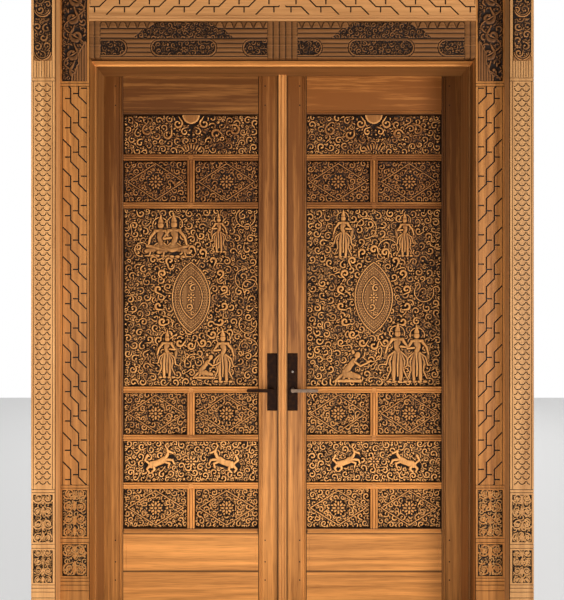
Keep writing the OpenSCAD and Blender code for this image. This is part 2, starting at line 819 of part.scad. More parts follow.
// The ledge: a moulding with a groove for the panels above it.
module ledge() {
    nose_r = ledge_h * 0.3;
    difference() {
        across(panel_x0, panel_x1) {
            area(0, ledge_z, leaf_t, carved_z0);
            translate([0, ledge_z + nose_r]) circle(nose_r);
        }
        translate([panel_x0 - over, panel_y, carved_z0 - groove_d])
            cube([panel_w + 2 * over, panel_t, groove_d + over]);
    }
}
module left_ledge() color(teak_light) on_left(true) ledge();
module right_ledge() color(teak_light) ledge();

// A moulded bar section, centred, with a groove on each side.
module bar_section(w) {
    difference() {
        area(sticking_d, -w / 2, leaf_t, w / 2);
        for (side = [-1, 1])
            translate([panel_y, side * w / 2 - groove_d]) square([panel_t, 2 * groove_d]);
    }
    for (side = [-1, 1])
        translate([sticking_d, side * (w / 2 - w * 0.14)]) circle(w * 0.14);
    translate([sticking_d, 0]) circle(w * 0.17);
}
module cross_bars() {
    for (i = [0 : 4]) let (z = row_z(i) - bar_h / 2) {
        across(panel_x0, panel_x1) translate([0, z]) bar_section(bar_h);
        for (x = [panel_x0 - groove_d, panel_x1])
            translate([x, panel_y, z - bar_h / 2 + groove_d])
                cube([groove_d, panel_t, bar_h - 2 * groove_d]);
        facing(sticking_d, sticking_d) translate([panel_mid, z]) flower(bar_h * 0.48, 6);
    }
}
module upright_bars() {
    for (i = [1, 3, 5])
        translate([panel_mid, 0]) upright(row_z(i), row_top(i))
            rotate(90) mirror([0, 1]) bar_section(upright_w);
}
module left_cross_bars() color(teak_light) on_left(true) cross_bars();
module right_cross_bars() color(teak_light) cross_bars();
module left_upright_bars() color(teak_light) on_left(true) upright_bars();
module right_upright_bars() color(teak_light) upright_bars();

module pegs() {
    for (x = [peg_x0, peg_x1], z = peg_z)
        translate([x, leaf_t, z]) rotate([90, 0, 0]) cylinder(d = peg_d, h = leaf_t);
}
module left_pegs() color(teak_dark) on_left(true) pegs();
module right_pegs() color(teak_dark) pegs();

// Carved panels. Each is one board: a tongued slab with its carving in layers.
carve_play = 0.5;
module panel_board(x0, x1, row) {
    grow = groove_d - wood_play;
    facing(panel_back, panel_t) area(x0 - grow, row_z(row) - grow, x1 + grow, row_top(row) + grow);
}
// A layer of carving of one height, within the opening of width w and height h round [x, z].
module layer(rise, x, z, w, h) {
    facing(panel_y, rise) translate([x, z]) intersection() {
        area(-w / 2 + carve_play, -h / 2 + carve_play, w / 2 - carve_play, h / 2 - carve_play);
        union() children();
    }
}
module low_layer(x, z, w, h) layer(carve_low, x, z, w, h) children();
module high_layer(x, z, w, h) layer(carve_low + carve_high, x, z, w, h) children();
module top_layer(x, z, w, h) layer(carve_low + carve_high + medallion_rise, x, z, w, h) children();

// Rows of volutes on a staggered grid, where an oval of half size [a, b] is kept free.
module vine_field(w, h, pitch, free = [0, 0]) {
    columns = floor(w / pitch);
    rows = floor(h / pitch);
    dx = w / columns;
    dz = h / rows;
    for (j = [0 : rows - 1], i = [0 : columns - 1]) {
        x = (i - (columns - 1) / 2) * dx;
        z = (j - (rows - 1) / 2) * dz;
        hand = (i + j) % 2 == 0 ? 1 : -1;
        if (free[0] == 0 || pow(x / free[0], 2) + pow(z / free[1], 2) > 1)
            translate([x, z]) mirror([hand > 0 ? 0 : 1, 0])
                volute(min(dx, dz) * 0.53, 90 * ((i * 3 + j * 2) % 4) + 20);
    }
}

// A standing figure of height h: head with a tall crown, body, raised arms, legs.
module figure(h) {
    translate([0, h * 0.70]) circle(h * 0.085);
    translate([0, h * 0.74]) blade(h * 0.26, h * 0.15);
    polygon(h * [[-0.10, 0.62], [0.10, 0.62], [0.06, 0.42], [0.12, 0.28], [0.07, 0], [0.01, 0],
        [0, 0.22], [-0.03, 0], [-0.09, 0], [-0.12, 0.28], [-0.06, 0.42]]);
    stroke(h * [[0.09, 0.59], [0.20, 0.46], [0.14, 0.66]], h * 0.05);
    stroke(h * [[-0.09, 0.59], [-0.21, 0.50], [-0.10, 0.40]], h * 0.05);
}
// A seated figure of height h with crossed legs.
module seated(h) {
    translate([0, h * 0.62]) circle(h * 0.12);
    translate([0, h * 0.68]) blade(h * 0.32, h * 0.2);
    polygon(h * [[-0.16, 0.52], [0.16, 0.52], [0.11, 0.22], [0.36, 0.10], [0.30, 0], [-0.30, 0],
        [-0.36, 0.10], [-0.11, 0.22]]);
    stroke(h * [[0.14, 0.48], [0.26, 0.28], [0.04, 0.24]], h * 0.07);
    stroke(h * [[-0.14, 0.48], [-0.26, 0.28], [-0.04, 0.24]], h * 0.07);
}
// A beast of length l walking to the right.
module beast(l) {
    polygon(l * [[-0.40, 0.26], [-0.26, 0.38], [0.10, 0.34], [0.26, 0.48], [0.36, 0.50],
        [0.50, 0.40], [0.48, 0.32], [0.36, 0.32], [0.26, 0.20], [0.28, 0], [0.18, 0], [0.14, 0.16],
        [-0.18, 0.16], [-0.22, 0], [-0.32, 0], [-0.32, 0.18]]);
    stroke(l * [for (i = [0 : 6]) [-0.38 - 0.10 * sin(30 * i), 0.30 + 0.05 * i]], l * 0.05);
}
module figures(table, w, h) {
    size = min(w, h);
    for (s = table) translate([s[0] * w, s[1] * h]) mirror([s[2] < 0 ? 1 : 0, 0])
        if (s[3] == 1) seated(abs(s[2]) * size);
        else if (s[3] == 2) beast(abs(s[2]) * size);
        else figure(abs(s[2]) * size);
}

// The top panel: a half disc under the rail with volutes and a fan of leaves below it.
disc_share = 0.22;
sun_shares = [[0.10, 0.10, 0.25, 150], [0.10, -0.30, -0.16, 60], [0.246, 0.18, -0.26, 30],
    [0.223, -0.26, 0.20, 250], [0.364, -0.10, 0.29, 10], [0.352, 0.36, -0.13, 90],
    [0.444, 0.24, -0.19, 200], [0.45, -0.28, 0.17, 320], [0.305, -0.40, -0.10, 0],
    [0.17, 0.40, 0.10, 90]];
module sun_panel() {
    w = panel_w;
    h = row_h(0);
    z = (row_top(0) + row_z(0)) / 2;
    panel_board(panel_x0, panel_x1, 0);
    low_layer(panel_mid, z, w, h)
        stroke([for (i = [0 : 40]) let (t = (i - 20) / 20)
            [t * w * 0.47, h * 0.26 * cos(720 * t)]], h * 0.07);
    high_layer(panel_mid, z, w, h) {
        both_sides() volutes(sun_shares, w, h);
        for (a = [-60 : 30 : 60]) translate([0, -h * 0.42]) blade(h * 0.38, h * 0.11, a);
    }
    top_layer(panel_mid, z, w, h) translate([0, h / 2]) circle(h * disc_share);
}
module left_sun_panel() color(teak) on_left(true) sun_panel();
module right_sun_panel() color(teak) sun_panel();

// The tall panel: a pointed medallion in a ring of curls, figures round it, and vines.
medallion_w_share = 0.139;
medallion_h_share = 0.267;
curls = 14;
left_figure_shares = [[-0.22, 0.26, 0.26, 0], [-0.34, 0.23, -0.24, 0], [0.30, 0.26, -0.26, 0],
    [-0.32, -0.43, 0.26, 0], [0.38, -0.44, -0.28, 0], [0.22, -0.44, 0.18, 1]];
right_figure_shares = [[-0.34, 0.25, 0.26, 0], [0.30, 0.26, -0.24, 0], [-0.24, -0.44, 0.18, 1],
    [0.20, -0.44, 0.28, 0], [0.36, -0.44, -0.28, 0]];
module figure_panel(table) {
    w = panel_w;
    h = row_h(2);
    z = (row_top(2) + row_z(2)) / 2;
    a = w * medallion_w_share;
    b = w * medallion_h_share;
    panel_board(panel_x0, panel_x1, 2);
    low_layer(panel_mid, z, w, h) vine_field(w * 0.98, h * 0.98, w * 0.137, [a * 1.9, b * 1.5]);
    high_layer(panel_mid, z, w, h) {
        for (i = [0 : curls - 1]) let (t = 360 * (i + 0.5) / curls)
            translate([a * 1.55 * cos(t), b * 1.25 * sin(t)]) volute(w * 0.042, t + 180);
        vesica_ring(a, b, w * 0.018);
        vesica_ring(a * 0.70, b * 0.72, w * 0.014);
        figures(table, w, h);
    }
    top_layer(panel_mid, z, w, h) {
        vesica(a * 0.46, b * 0.52);
        for (i = [0 : 15]) let (t = i * 22.5)
            translate([a * 0.80 * cos(t), b * 0.74 * sin(t)]) circle(w * 0.012);
    }
}
module left_figure_panel() color(teak) on_left(true) figure_panel(left_figure_shares);
module right_figure_panel() color(teak) figure_panel(right_figure_shares);

// The wide lower panel: beasts among leaves.
beast_shares = [[-0.357, -0.34, 0.80, 2], [0.350, -0.34, -0.74, 2]];
beast_leaf_shares = [[0.074, 0.22, 0.24, 140], [0.074, -0.26, -0.22, 40], [0.185, -0.05, 0.18, 250],
    [0.203, 0.34, -0.14, 90], [0.338, 0.30, 0.17, 20], [0.435, 0.22, -0.20, 200],
    [0.44, -0.30, 0.16, 320]];
module beast_panel() {
    w = panel_w;
    h = row_h(4);
    z = (row_top(4) + row_z(4)) / 2;
    panel_board(panel_x0, panel_x1, 4);
    low_layer(panel_mid, z, w, h) both_sides() volutes(beast_leaf_shares, w, h);
    high_layer(panel_mid, z, w, h) figures(beast_shares, w, h);
}
module left_beast_panel() color(teak) on_left(true) beast_panel();
module right_beast_panel() color(teak) beast_panel();

// The small panels: a lozenge round a rosette, and volutes in the corners.
corner_shares = [[0.356, 0.30, 0.15, 200], [0.198, 0.40, -0.09, 60], [0.409, 0.02, -0.09, 300]];
module small_panel(x0, x1, row) {
    h = row_h(row);
    w = x1 - x0;
    mid = (x0 + x1) / 2;
    z = (row_top(row) + row_z(row)) / 2;
    panel_board(x0, x1, row);
    low_layer(mid, z, w, h) {
        difference() {
            polygon([[-w * 0.47, 0], [0, h * 0.47], [w * 0.47, 0], [0, -h * 0.47]]);
            polygon([[-w * 0.40, 0], [0, h * 0.40], [w * 0.40, 0], [0, -h * 0.40]]);
        }
        for (side_x = [0, 1], side_z = [0, 1]) mirror([side_x, 0]) mirror([0, side_z]) {
            volutes(corner_shares, w, h);
            polygon([[w * 0.50, h * 0.50], [w * 0.42, h * 0.50], [w * 0.50, h * 0.40]]);
        }
    }
    high_layer(mid, z, w, h) flower(h * 0.27, 8);
}
module small_panels() {
    for (row = [1, 3, 5]) {
        small_panel(panel_x0, panel_x0 + small_w, row);
        small_panel(panel_x1 - small_w, panel_x1, row);
    }
}
module left_small_panels() color(teak) on_left(true) small_panels();
module right_small_panels() color(teak) small_panels();

// A handle plate with bevelled edges, drawn outwards from y = 0.
plate_bevel = 3;
plate_z0 = lever_z - plate_h * 0.37;
module handle_plate(keyed) {
    x0 = spindle_x - plate_w / 2;
    x1 = spindle_x + plate_w / 2;
    z0 = plate_z0;
    z1 = plate_z0 + plate_h;
    difference() {
        intersection() {
            upright(z0, z1) polygon([[x0, 0], [x1, 0], [x1, -plate_t * 0.4],
                [x1 - plate_bevel, -plate_t], [x0 + plate_bevel, -plate_t], [x0, -plate_t * 0.4]]);
            across(x0, x1) polygon([[0, z0], [0, z1], [-plate_t * 0.4, z1],
                [-plate_t, z1 - plate_bevel], [-plate_t, z0 + plate_bevel], [-plate_t * 0.4, z0]]);
        }
        translate([spindle_x, over, lever_z]) rotate([90, 0, 0])
            cylinder(r = neck_r + bearing_play, h = plate_t + 2 * over);
        if (keyed)
            translate([spindle_x, over, key_z]) rotate([90, 0, 0])
                cylinder(d = key_d, h = plate_t + 2 * over);
    }
}
module to_inside() {
    translate([0, leaf_t, 0]) mirror([0, 1, 0]) children();
}
module left_outside_plate() color(bronze) on_left(true) handle_plate(false);
module right_outside_plate() color(bronze) handle_plate(true);
module left_inside_plate() color(bronze) on_left(true) to_inside() handle_plate(false);
module right_inside_plate() color(bronze) to_inside() handle_plate(true);

// The lock case with its forend, open where the latch, the bolt and the spindle pass.
module lock_case(keyed) {
    inner_t = case_t - 2 * case_wall;
    difference() {
        union() {
            translate([case_x0, lock_y - case_t / 2, case_z0])
                cube([case_x1 - case_x0, case_t, case_z1 - case_z0]);
            translate([meet_x, lock_y - forend_w / 2, case_z0 - forend_lap])
                cube([forend_t, forend_w, case_z1 - case_z0 + 2 * forend_lap]);
        }
        translate([case_x0, lock_y - inner_t / 2, case_z0 + case_wall])
            cube([case_x1 - case_x0 - case_wall, inner_t, case_z1 - case_z0 - 2 * case_wall]);
        translate([meet_x - over, lock_y - latch_t / 2 - lock_play, lever_z - latch_h / 2 - lock_play])
            cube([forend_t + 2 * over, latch_t + 2 * lock_play, latch_h + 2 * lock_play]);
        translate([spindle_x, lock_y + case_t / 2 + over, lever_z]) rotate([90, 0, 0])
            cylinder(r = spindle_hole_r, h = case_t + 2 * over);
        if (keyed) {
            translate([meet_x - over, lock_y - latch_t / 2 - lock_play, key_z - bolt_h / 2 - lock_play])
                cube([forend_t + 2 * over, latch_t + 2 * lock_play, bolt_h + 2 * lock_play]);
            translate([spindle_x, lock_y + case_t / 2 + over, key_z]) rotate([90, 0, 0])
                cylinder(d = key_d, h = case_t + 2 * over);
        }
    }
}
module left_lock_case() color(steel) on_left(true) lock_case(false);
module right_lock_case() color(steel) lock_case(true);

// A lever's arm and neck, drawn outwards from y = 0.
arm_t_share = 0.8;
module lever_arm() {
    translate([spindle_x, 0, lever_z]) rotate([90, 0, 0]) cylinder(r = neck_r, h = plate_t + lever_reach);
    facing(-plate_t - lever_reach, lever_t * arm_t_share) translate([spindle_x, lever_z]) {
        circle(neck_r);
        area(0, -lever_t / 2, lever_l - lever_t / 2, lever_t / 2);
        translate([lever_l - lever_t / 2, 0]) circle(lever_t / 2);
    }
}
module spindle() {
    translate([spindle_x - spindle_w / 2, -over, lever_z - spindle_w / 2])
        cube([spindle_w, leaf_t + plate_t + lever_reach / 2 + over, spindle_w]);
}
module lever_outside() {
    lever_arm();
    spindle();
}
module lever_inside() {
    difference() {
        to_inside() lever_arm();
        spindle();
    }
}
module left_lever_outside() color(bronze) on_left(true) lever_outside();
module right_lever_outside() color(bronze) lever_outside();
module left_lever_inside() color(bronze) on_left(true) lever_inside();
module right_lever_inside() color(bronze) lever_inside();

// The follower on the spindle, and the latch that it draws in.
module follower() {
    difference() {
        translate([spindle_x, lock_y + latch_t / 2, lever_z]) rotate([90, 0, 0])
            cylinder(r = follower_r, h = latch_t);
        spindle();
    }
}
module latch() {
    tip_x = meet_x - throw;
    head_x = spindle_x - follower_r - follower_play - throw;
    bevel = latch_t * 0.6;
    translate([0, 0, lever_z - latch_h / 2]) linear_extrude(latch_h) polygon([
        [tip_x, lock_y - latch_t / 2], [tip_x, lock_y + latch_t / 2 - bevel],
        [tip_x + bevel, lock_y + latch_t / 2], [head_x, lock_y + latch_t / 2],
        [head_x, lock_y - latch_t / 2]]);
    for (z = [lever_z - latch_h / 2, lever_z + latch_h / 2 - latch_arm])
        translate([head_x - over, lock_y - latch_t / 2, z])
            cube([latch_back_x - head_x + over, latch_t, latch_arm]);
    translate([latch_back_x - latch_arm, lock_y - latch_t / 2, lever_z - latch_h / 2])
        cube([latch_arm, latch_t, latch_h]);
}
module left_follower() color(steel) on_left(true) follower();
module right_follower() color(steel) follower();
module left_latch() color(steel) on_left(true) latch();
module right_latch() color(steel) latch();

// The key cylinder, its plug and the bolt that the key throws, on the right leaf.
key_proud = 2;
plug_r_share = 0.52;
key_slot_w = 1.6;
key_slot_h = 6;
key_slot_d = 8;
plug_r = key_d / 2 * plug_r_share;
module key_cylinder() {
    color(steel) translate([spindle_x, leaf_t + plate_t + key_proud, key_z]) rotate([90, 0, 0])
        difference() {
            cylinder(d = key_d, h = leaf_t + 2 * (plate_t + key_proud));
            translate([0, 0, -over])
                cylinder(r = plug_r + bearing_play, h = leaf_t + 2 * (plate_t + key_proud + over));
        }
}
module key_plug() {
    plug_l = leaf_t + 2 * (plate_t + key_proud);
    color(steel) translate([spindle_x, leaf_t + plate_t + key_proud, key_z]) rotate([90, 0, 0])
        difference() {
            cylinder(r = plug_r, h = plug_l);
            translate([-key_slot_w / 2, -key_slot_h / 2, plug_l - key_slot_d])
                cube([key_slot_w, key_slot_h, key_slot_d + over]);
        }
}
module deadbolt() {
    x0 = meet_x + lock_play;
    x1 = spindle_x - key_d / 2 - lock_play;
    color(steel) translate([x0, lock_y - latch_t / 2, key_z - bolt_h / 2])
        cube([x1 - x0, latch_t, bolt_h]);
}
module strike_plates() {
    color(steel) both_sides() difference() {
        translate([post_stem / 2 - strike_t, lock_y - strike_w / 2, strike_z0])
            cube([strike_t, strike_w, strike_h]);
        for (z = [lever_z, key_z])
            translate([post_stem / 2 - strike_t - over, lock_y - pocket_t / 2, z - pocket_h / 2])
                cube([strike_t + 2 * over, pocket_t, pocket_h]);
    }
}

// Hinges. Knuckles with even numbers belong to the frame's half, the others to the leaf's.
knuckle_l = hinge_l / knuckles;
module hinge_half(first, plate_x, bore_r) {
    for (z = hinge_z) translate([0, 0, z - hinge_l / 2]) difference() {
        union() {
            translate([plate_x, hinge_seat_y, 0])
                cube([hinge_t, leaf_t - hinge_seat_y, hinge_l]);
            for (i = [first : 2 : knuckles - 1])
                translate([0, 0, i * knuckle_l + knuckle_play / 2])
                    linear_extrude(knuckle_l - knuckle_play) {
                        translate([hinge_x, hinge_y]) circle(knuckle_r);
                        area(plate_x, leaf_t - over, plate_x + hinge_t, hinge_y);
                    }
        }
        translate([hinge_x, hinge_y, -over]) cylinder(r = bore_r, h = hinge_l + 2 * over);
    }
}
module hinge_frame_halves() color(bronze) both_sides() hinge_half(0, rebate_x, pin_r);
module left_hinge_halves() color(bronze) on_left(true) hinge_half(1, edge_x - hinge_t, pin_r + bearing_play);
module right_hinge_halves() color(bronze) hinge_half(1, edge_x - hinge_t, pin_r + bearing_play);
module hinge_pins() {
    color(bronze) both_sides() for (z = hinge_z)
        translate([hinge_x, hinge_y, z - hinge_l / 2]) {
            cylinder(r = pin_r, h = hinge_l);
            translate([0, 0, hinge_l - knuckle_play / 2]) cylinder(r = knuckle_r * 0.8, h = pin_head);
        }
}

threshold();
jamb_left();
jamb_right();
head_jamb();
reveal_linings();
centre_post();
inner_pilaster_left();
inner_pilaster_right();
outer_pilasters();
frieze();
header_board();
cornice();
hinge_frame_halves();
hinge_pins();
strike_plates();
left_hinge_stile();
left_meeting_stile();
left_top_rail();
left_lower_rail();
left_bottom_rail();
left_cross_bars();
left_upright_bars();
left_ledge();
left_sun_panel();
left_figure_panel();
left_beast_panel();
left_small_panels();
left_pegs();
left_hinge_halves();
left_outside_plate();
left_inside_plate();
left_lock_case();
left_lever_outside();
left_lever_inside();
left_follower();
left_latch();
right_hinge_stile();
right_meeting_stile();
right_top_rail();
right_lower_rail();
right_bottom_rail();
right_cross_bars();
right_upright_bars();
right_ledge();
right_sun_panel();
right_figure_panel();
right_beast_panel();
right_small_panels();
right_pegs();
right_hinge_halves();
right_outside_plate();
right_inside_plate();
right_lock_case();
right_lever_outside();
right_lever_inside();
right_follower();
right_latch();
key_cylinder();
key_plug();
deadbolt();
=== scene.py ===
"""Carved double-leaf temple door of golden teak in its pilastered frame, dressed for the studio."""
import math

import bpy
import numpy as np
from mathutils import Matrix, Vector


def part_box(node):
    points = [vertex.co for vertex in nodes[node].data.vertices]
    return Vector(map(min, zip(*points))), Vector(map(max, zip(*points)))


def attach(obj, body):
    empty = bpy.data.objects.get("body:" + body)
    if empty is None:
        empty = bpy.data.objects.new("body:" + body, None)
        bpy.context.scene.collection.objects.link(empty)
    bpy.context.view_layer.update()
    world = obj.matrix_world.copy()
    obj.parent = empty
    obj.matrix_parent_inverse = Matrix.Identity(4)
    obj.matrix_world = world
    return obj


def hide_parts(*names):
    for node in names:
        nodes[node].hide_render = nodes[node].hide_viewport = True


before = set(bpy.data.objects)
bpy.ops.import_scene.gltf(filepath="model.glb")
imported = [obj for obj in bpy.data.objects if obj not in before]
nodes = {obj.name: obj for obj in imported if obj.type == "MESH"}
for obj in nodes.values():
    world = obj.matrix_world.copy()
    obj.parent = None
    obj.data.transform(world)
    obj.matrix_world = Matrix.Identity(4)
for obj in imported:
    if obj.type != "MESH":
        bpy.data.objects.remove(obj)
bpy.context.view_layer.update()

# The carcass: threshold, jambs and head, sawn from straight-grained teak and jointed into the wall
# opening. They stay in shade behind the linings, and their teak is painted darker as painted shade.


def teak_group():
    """Teak as a node group: cathedral figure, pores and slow changes of tone, along a chosen axis, with painted shade
    that darkens it towards the top.
    """
    group = bpy.data.node_groups.new("Teak grain", "ShaderNodeTree")
    face = group.interface
    for name, kind, value in (
        ("Along", "NodeSocketVector", (1.0, 1.0, 1.0)),
        ("Board", "NodeSocketVector", (0.0, 0.0, 0.0)),
        ("Light", "NodeSocketColor", (0.60, 0.33, 0.13, 1)),
        ("Dark", "NodeSocketColor", (0.30, 0.13, 0.04, 1)),
        ("Figure", "NodeSocketFloat", 1.0),
        ("Porch shade", "NodeSocketFloat", 0.0),
    ):
        face.new_socket(name, in_out="INPUT", socket_type=kind).default_value = value
    face.new_socket("Color", in_out="OUTPUT", socket_type="NodeSocketColor")
    face.new_socket("Pores", in_out="OUTPUT", socket_type="NodeSocketFloat")
    face.new_socket("Roughness", in_out="OUTPUT", socket_type="NodeSocketFloat")
    add, link = group.nodes.new, group.links.new
    given, out = add("NodeGroupInput"), add("NodeGroupOutput")
    coords = add("ShaderNodeTexCoord")
    shift = add("ShaderNodeVectorMath")
    link(coords.outputs["Object"], shift.inputs[0])
    link(given.outputs["Board"], shift.inputs[1])
    stretch = add("ShaderNodeVectorMath")
    stretch.operation = "MULTIPLY"
    link(shift.outputs[0], stretch.inputs[0])
    link(given.outputs["Along"], stretch.inputs[1])

    def noise(scale, detail, distortion=0.0):
        tex = add("ShaderNodeTexNoise")
        tex.inputs["Scale"].default_value = scale
        tex.inputs["Detail"].default_value = detail
        tex.inputs["Distortion"].default_value = distortion
        link(stretch.outputs[0], tex.inputs["Vector"])
        return tex.outputs["Fac"]

    def ramp(value, low, high):
        node = add("ShaderNodeMapRange")
        node.inputs["From Min"].default_value = low
        node.inputs["From Max"].default_value = high
        link(value, node.inputs["Value"])
        return node.outputs["Result"]

    def maths(operation, a, b):
        node = add("ShaderNodeMath")
        node.operation = operation
        for socket, value in zip(node.inputs, (a, b)):
            if isinstance(value, (int, float)):
                socket.default_value = value
            else:
                link(value, socket)
        return node.outputs[0]

    broad = noise(3.0, 2.0)
    rings = maths("SINE", maths("MULTIPLY", noise(4.0, 1.5, 0.3), 95.0), 0.0)
    figure = ramp(rings, -1.0, 1.0)
    streaks = noise(60.0, 5.0)
    pores = ramp(noise(260.0, 2.0), 0.36, 0.52)
    tone = maths("ADD", maths("MULTIPLY", figure, 0.24), maths("MULTIPLY", ramp(broad, 0.3, 0.7), 0.31))
    tone = maths("ADD", tone, maths("MULTIPLY", ramp(streaks, 0.3, 0.7), 0.45))
    tone = maths("MULTIPLY", maths("SUBTRACT", tone, 0.5), given.outputs["Figure"])
    tone = maths("ADD", tone, 0.36)
    tone = maths("ADD", tone, maths("MULTIPLY", maths("SUBTRACT", 1.0, pores), 0.18))
    place = add("ShaderNodeSeparateXYZ")
    link(coords.outputs["Object"], place.inputs[0])
    # Painted shade: the tone darkens with height from z = 0.55 m to 2.25 m, as much as Porch shade asks.
    shade = ramp(place.outputs["Z"], 0.55, 2.25)
    tone = maths("ADD", tone, maths("MULTIPLY", shade, given.outputs["Porch shade"]))
    mix = add("ShaderNodeMix")
    mix.data_type = "RGBA"
    link(tone, mix.inputs["Factor"])
    link(given.outputs["Light"], mix.inputs[6])
    link(given.outputs["Dark"], mix.inputs[7])
    link(mix.outputs[2], out.inputs["Color"])
    link(pores, out.inputs["Pores"])
    link(ramp(streaks, 0.2, 1.9), out.inputs["Roughness"])
    return group


def seam_group():
    """A mask along the outline of an upright board, for painted shade in the joints between parts."""
    group = bpy.data.node_groups.new("Seam shade", "ShaderNodeTree")
    face = group.interface
    face.new_socket("Low", in_out="INPUT", socket_type="NodeSocketVector")
    face.new_socket("High", in_out="INPUT", socket_type="NodeSocketVector")
    face.new_socket("Reach", in_out="INPUT", socket_type="NodeSocketFloat").default_value = 0.006
    face.new_socket("Mask", in_out="OUTPUT", socket_type="NodeSocketFloat")
    add, link = group.nodes.new, group.links.new
    given, out, coords = add("NodeGroupInput"), add("NodeGroupOutput"), add("ShaderNodeTexCoord")
    nearest = None
    for sign, corner in ((1, "Low"), (-1, "High")):
        away = add("ShaderNodeVectorMath")
        away.operation = "SUBTRACT"
        link(coords.outputs["Object"], away.inputs[0 if sign > 0 else 1])
        link(given.outputs[corner], away.inputs[1 if sign > 0 else 0])
        split = add("ShaderNodeSeparateXYZ")
        link(away.outputs[0], split.inputs[0])
        for axis in ("X", "Z"):
            if nearest is None:
                nearest = split.outputs[axis]
                continue
            least = add("ShaderNodeMath")
            least.operation = "MINIMUM"
            link(nearest, least.inputs[0])
            link(split.outputs[axis], least.inputs[1])
            nearest = least.outputs[0]
    fade = add("ShaderNodeMapRange")
    fade.inputs["To Min"].default_value = 1.0
    fade.inputs["To Max"].default_value = 0.0
    link(nearest, fade.inputs["Value"])
    link(given.outputs["Reach"], fade.inputs["From Max"])
    link(fade.outputs["Result"], out.inputs["Mask"])
    return group


TEAK, SEAMS = teak_group(), seam_group()
ALONG = {"X": (0.035, 1.0, 1.0), "Z": (1.0, 1.0, 0.035)}


def teak(name, along, light, dark, board=0.0, figure=1.0, gloss=0.42, shade=0.0):
    """One board's teak. The number of the board slides the figure so that no two boards match."""
    mat = bpy.data.materials.new(name)
    mat.use_nodes = True
    tree = mat.node_tree
    shader = tree.nodes["Principled BSDF"]
    grain = tree.nodes.new("ShaderNodeGroup")
    grain.node_tree = TEAK
    grain.name = "Grain"
    grain.inputs["Along"].default_value = ALONG[along]
    grain.inputs["Board"].default_value = (board * 3.1, board * 1.7, board * 5.3)
    grain.inputs["Light"].default_value = (*light, 1)
    grain.inputs["Dark"].default_value = (*dark, 1)
    grain.inputs["Figure"].default_value = figure
    grain.inputs["Porch shade"].default_value = shade
    tree.links.new(grain.outputs["Color"], shader.inputs["Base Color"])
    rough = tree.nodes.new("ShaderNodeMapRange")
    rough.inputs["To Min"].default_value = gloss
    rough.inputs["To Max"].default_value = gloss + 0.25
    tree.links.new(grain.outputs["Roughness"], rough.inputs["Value"])
    tree.links.new(rough.outputs["Result"], shader.inputs["Roughness"])
    bump = tree.nodes.new("ShaderNodeBump")
    bump.inputs["Strength"].default_value = 0.25
    bump.inputs["Distance"].default_value = 0.0006
    tree.links.new(grain.outputs["Pores"], bump.inputs["Height"])
    tree.links.new(bump.outputs["Normal"], shader.inputs["Normal"])
    shader.inputs["Specular IOR Level"].default_value = 0.16
    return mat


def seam_shaded(mat, node, reach=0.008, amount=0.92, shown=None):
    """Paints shade on a board's teak along its own outline, or along the part of its width that shows."""
    tree = mat.node_tree
    shader = tree.nodes["Principled BSDF"]
    unshaded = shader.inputs["Base Color"].links[0].from_socket
    low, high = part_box(node)
    if shown:
        low.x, high.x = shown
    seam = tree.nodes.new("ShaderNodeGroup")
    seam.node_tree = SEAMS
    seam.inputs["Low"].default_value = low
    seam.inputs["High"].default_value = high
    seam.inputs["Reach"].default_value = reach
    share = tree.nodes.new("ShaderNodeMath")
    share.operation = "MULTIPLY"
    share.inputs[1].default_value = amount
    tree.links.new(seam.outputs["Mask"], share.inputs[0])
    mix = tree.nodes.new("ShaderNodeMix")
    mix.data_type = "RGBA"
    # Painted shade: near-black teak along the board's outline, where it meets the next part.
    mix.inputs[7].default_value = (0.030, 0.011, 0.003, 1)
    tree.links.new(share.outputs[0], mix.inputs["Factor"])
    tree.links.new(unshaded, mix.inputs[6])
    tree.links.new(mix.outputs[2], shader.inputs["Base Color"])
    return mat


def dress(node, material):
    """Puts a material on a node of the frame."""
    mesh = nodes[node].data
    mesh.materials.clear()
    mesh.materials.append(material)


SHADE_LIGHT, SHADE_DARK = (0.36, 0.15, 0.042), (0.14, 0.05, 0.013)
dress("threshold", teak("Sill teak", "X", SHADE_LIGHT, SHADE_DARK, 1))
dress("jamb_left", teak("Left jamb teak", "Z", SHADE_LIGHT, SHADE_DARK, 2))
dress("jamb_right", teak("Right jamb teak", "Z", SHADE_LIGHT, SHADE_DARK, 3))
dress("head_jamb", teak("Head jamb teak", "X", SHADE_LIGHT, SHADE_DARK, 4))

# The linings of the reveal and the reeded post that the leaves close against. Both are planed teak
# with rounded edges, glued and pinned to the carcass.
CASING_LIGHT, CASING_DARK = (0.52, 0.215, 0.055), (0.17, 0.057, 0.012)


def shaded_on_right(tree, colour, share):
    """A colour darkened on the part's right side by painted shade."""
    coords, split = tree.nodes.new("ShaderNodeTexCoord"), tree.nodes.new("ShaderNodeSeparateXYZ")
    tree.links.new(coords.outputs["Object"], split.inputs[0])
    right = tree.nodes.new("ShaderNodeMath")
    right.operation = "GREATER_THAN"
    right.inputs[1].default_value = 0.0
    tree.links.new(split.outputs["X"], right.inputs[0])
    tone = tree.nodes.new("ShaderNodeMix")
    tone.data_type, tone.blend_type = "RGBA", "MULTIPLY"
    tone.inputs[7].default_value = (share, share, share, 1)
    tree.links.new(right.outputs[0], tone.inputs["Factor"])
    tree.links.new(colour, tone.inputs[6])
    return tone.outputs[2]


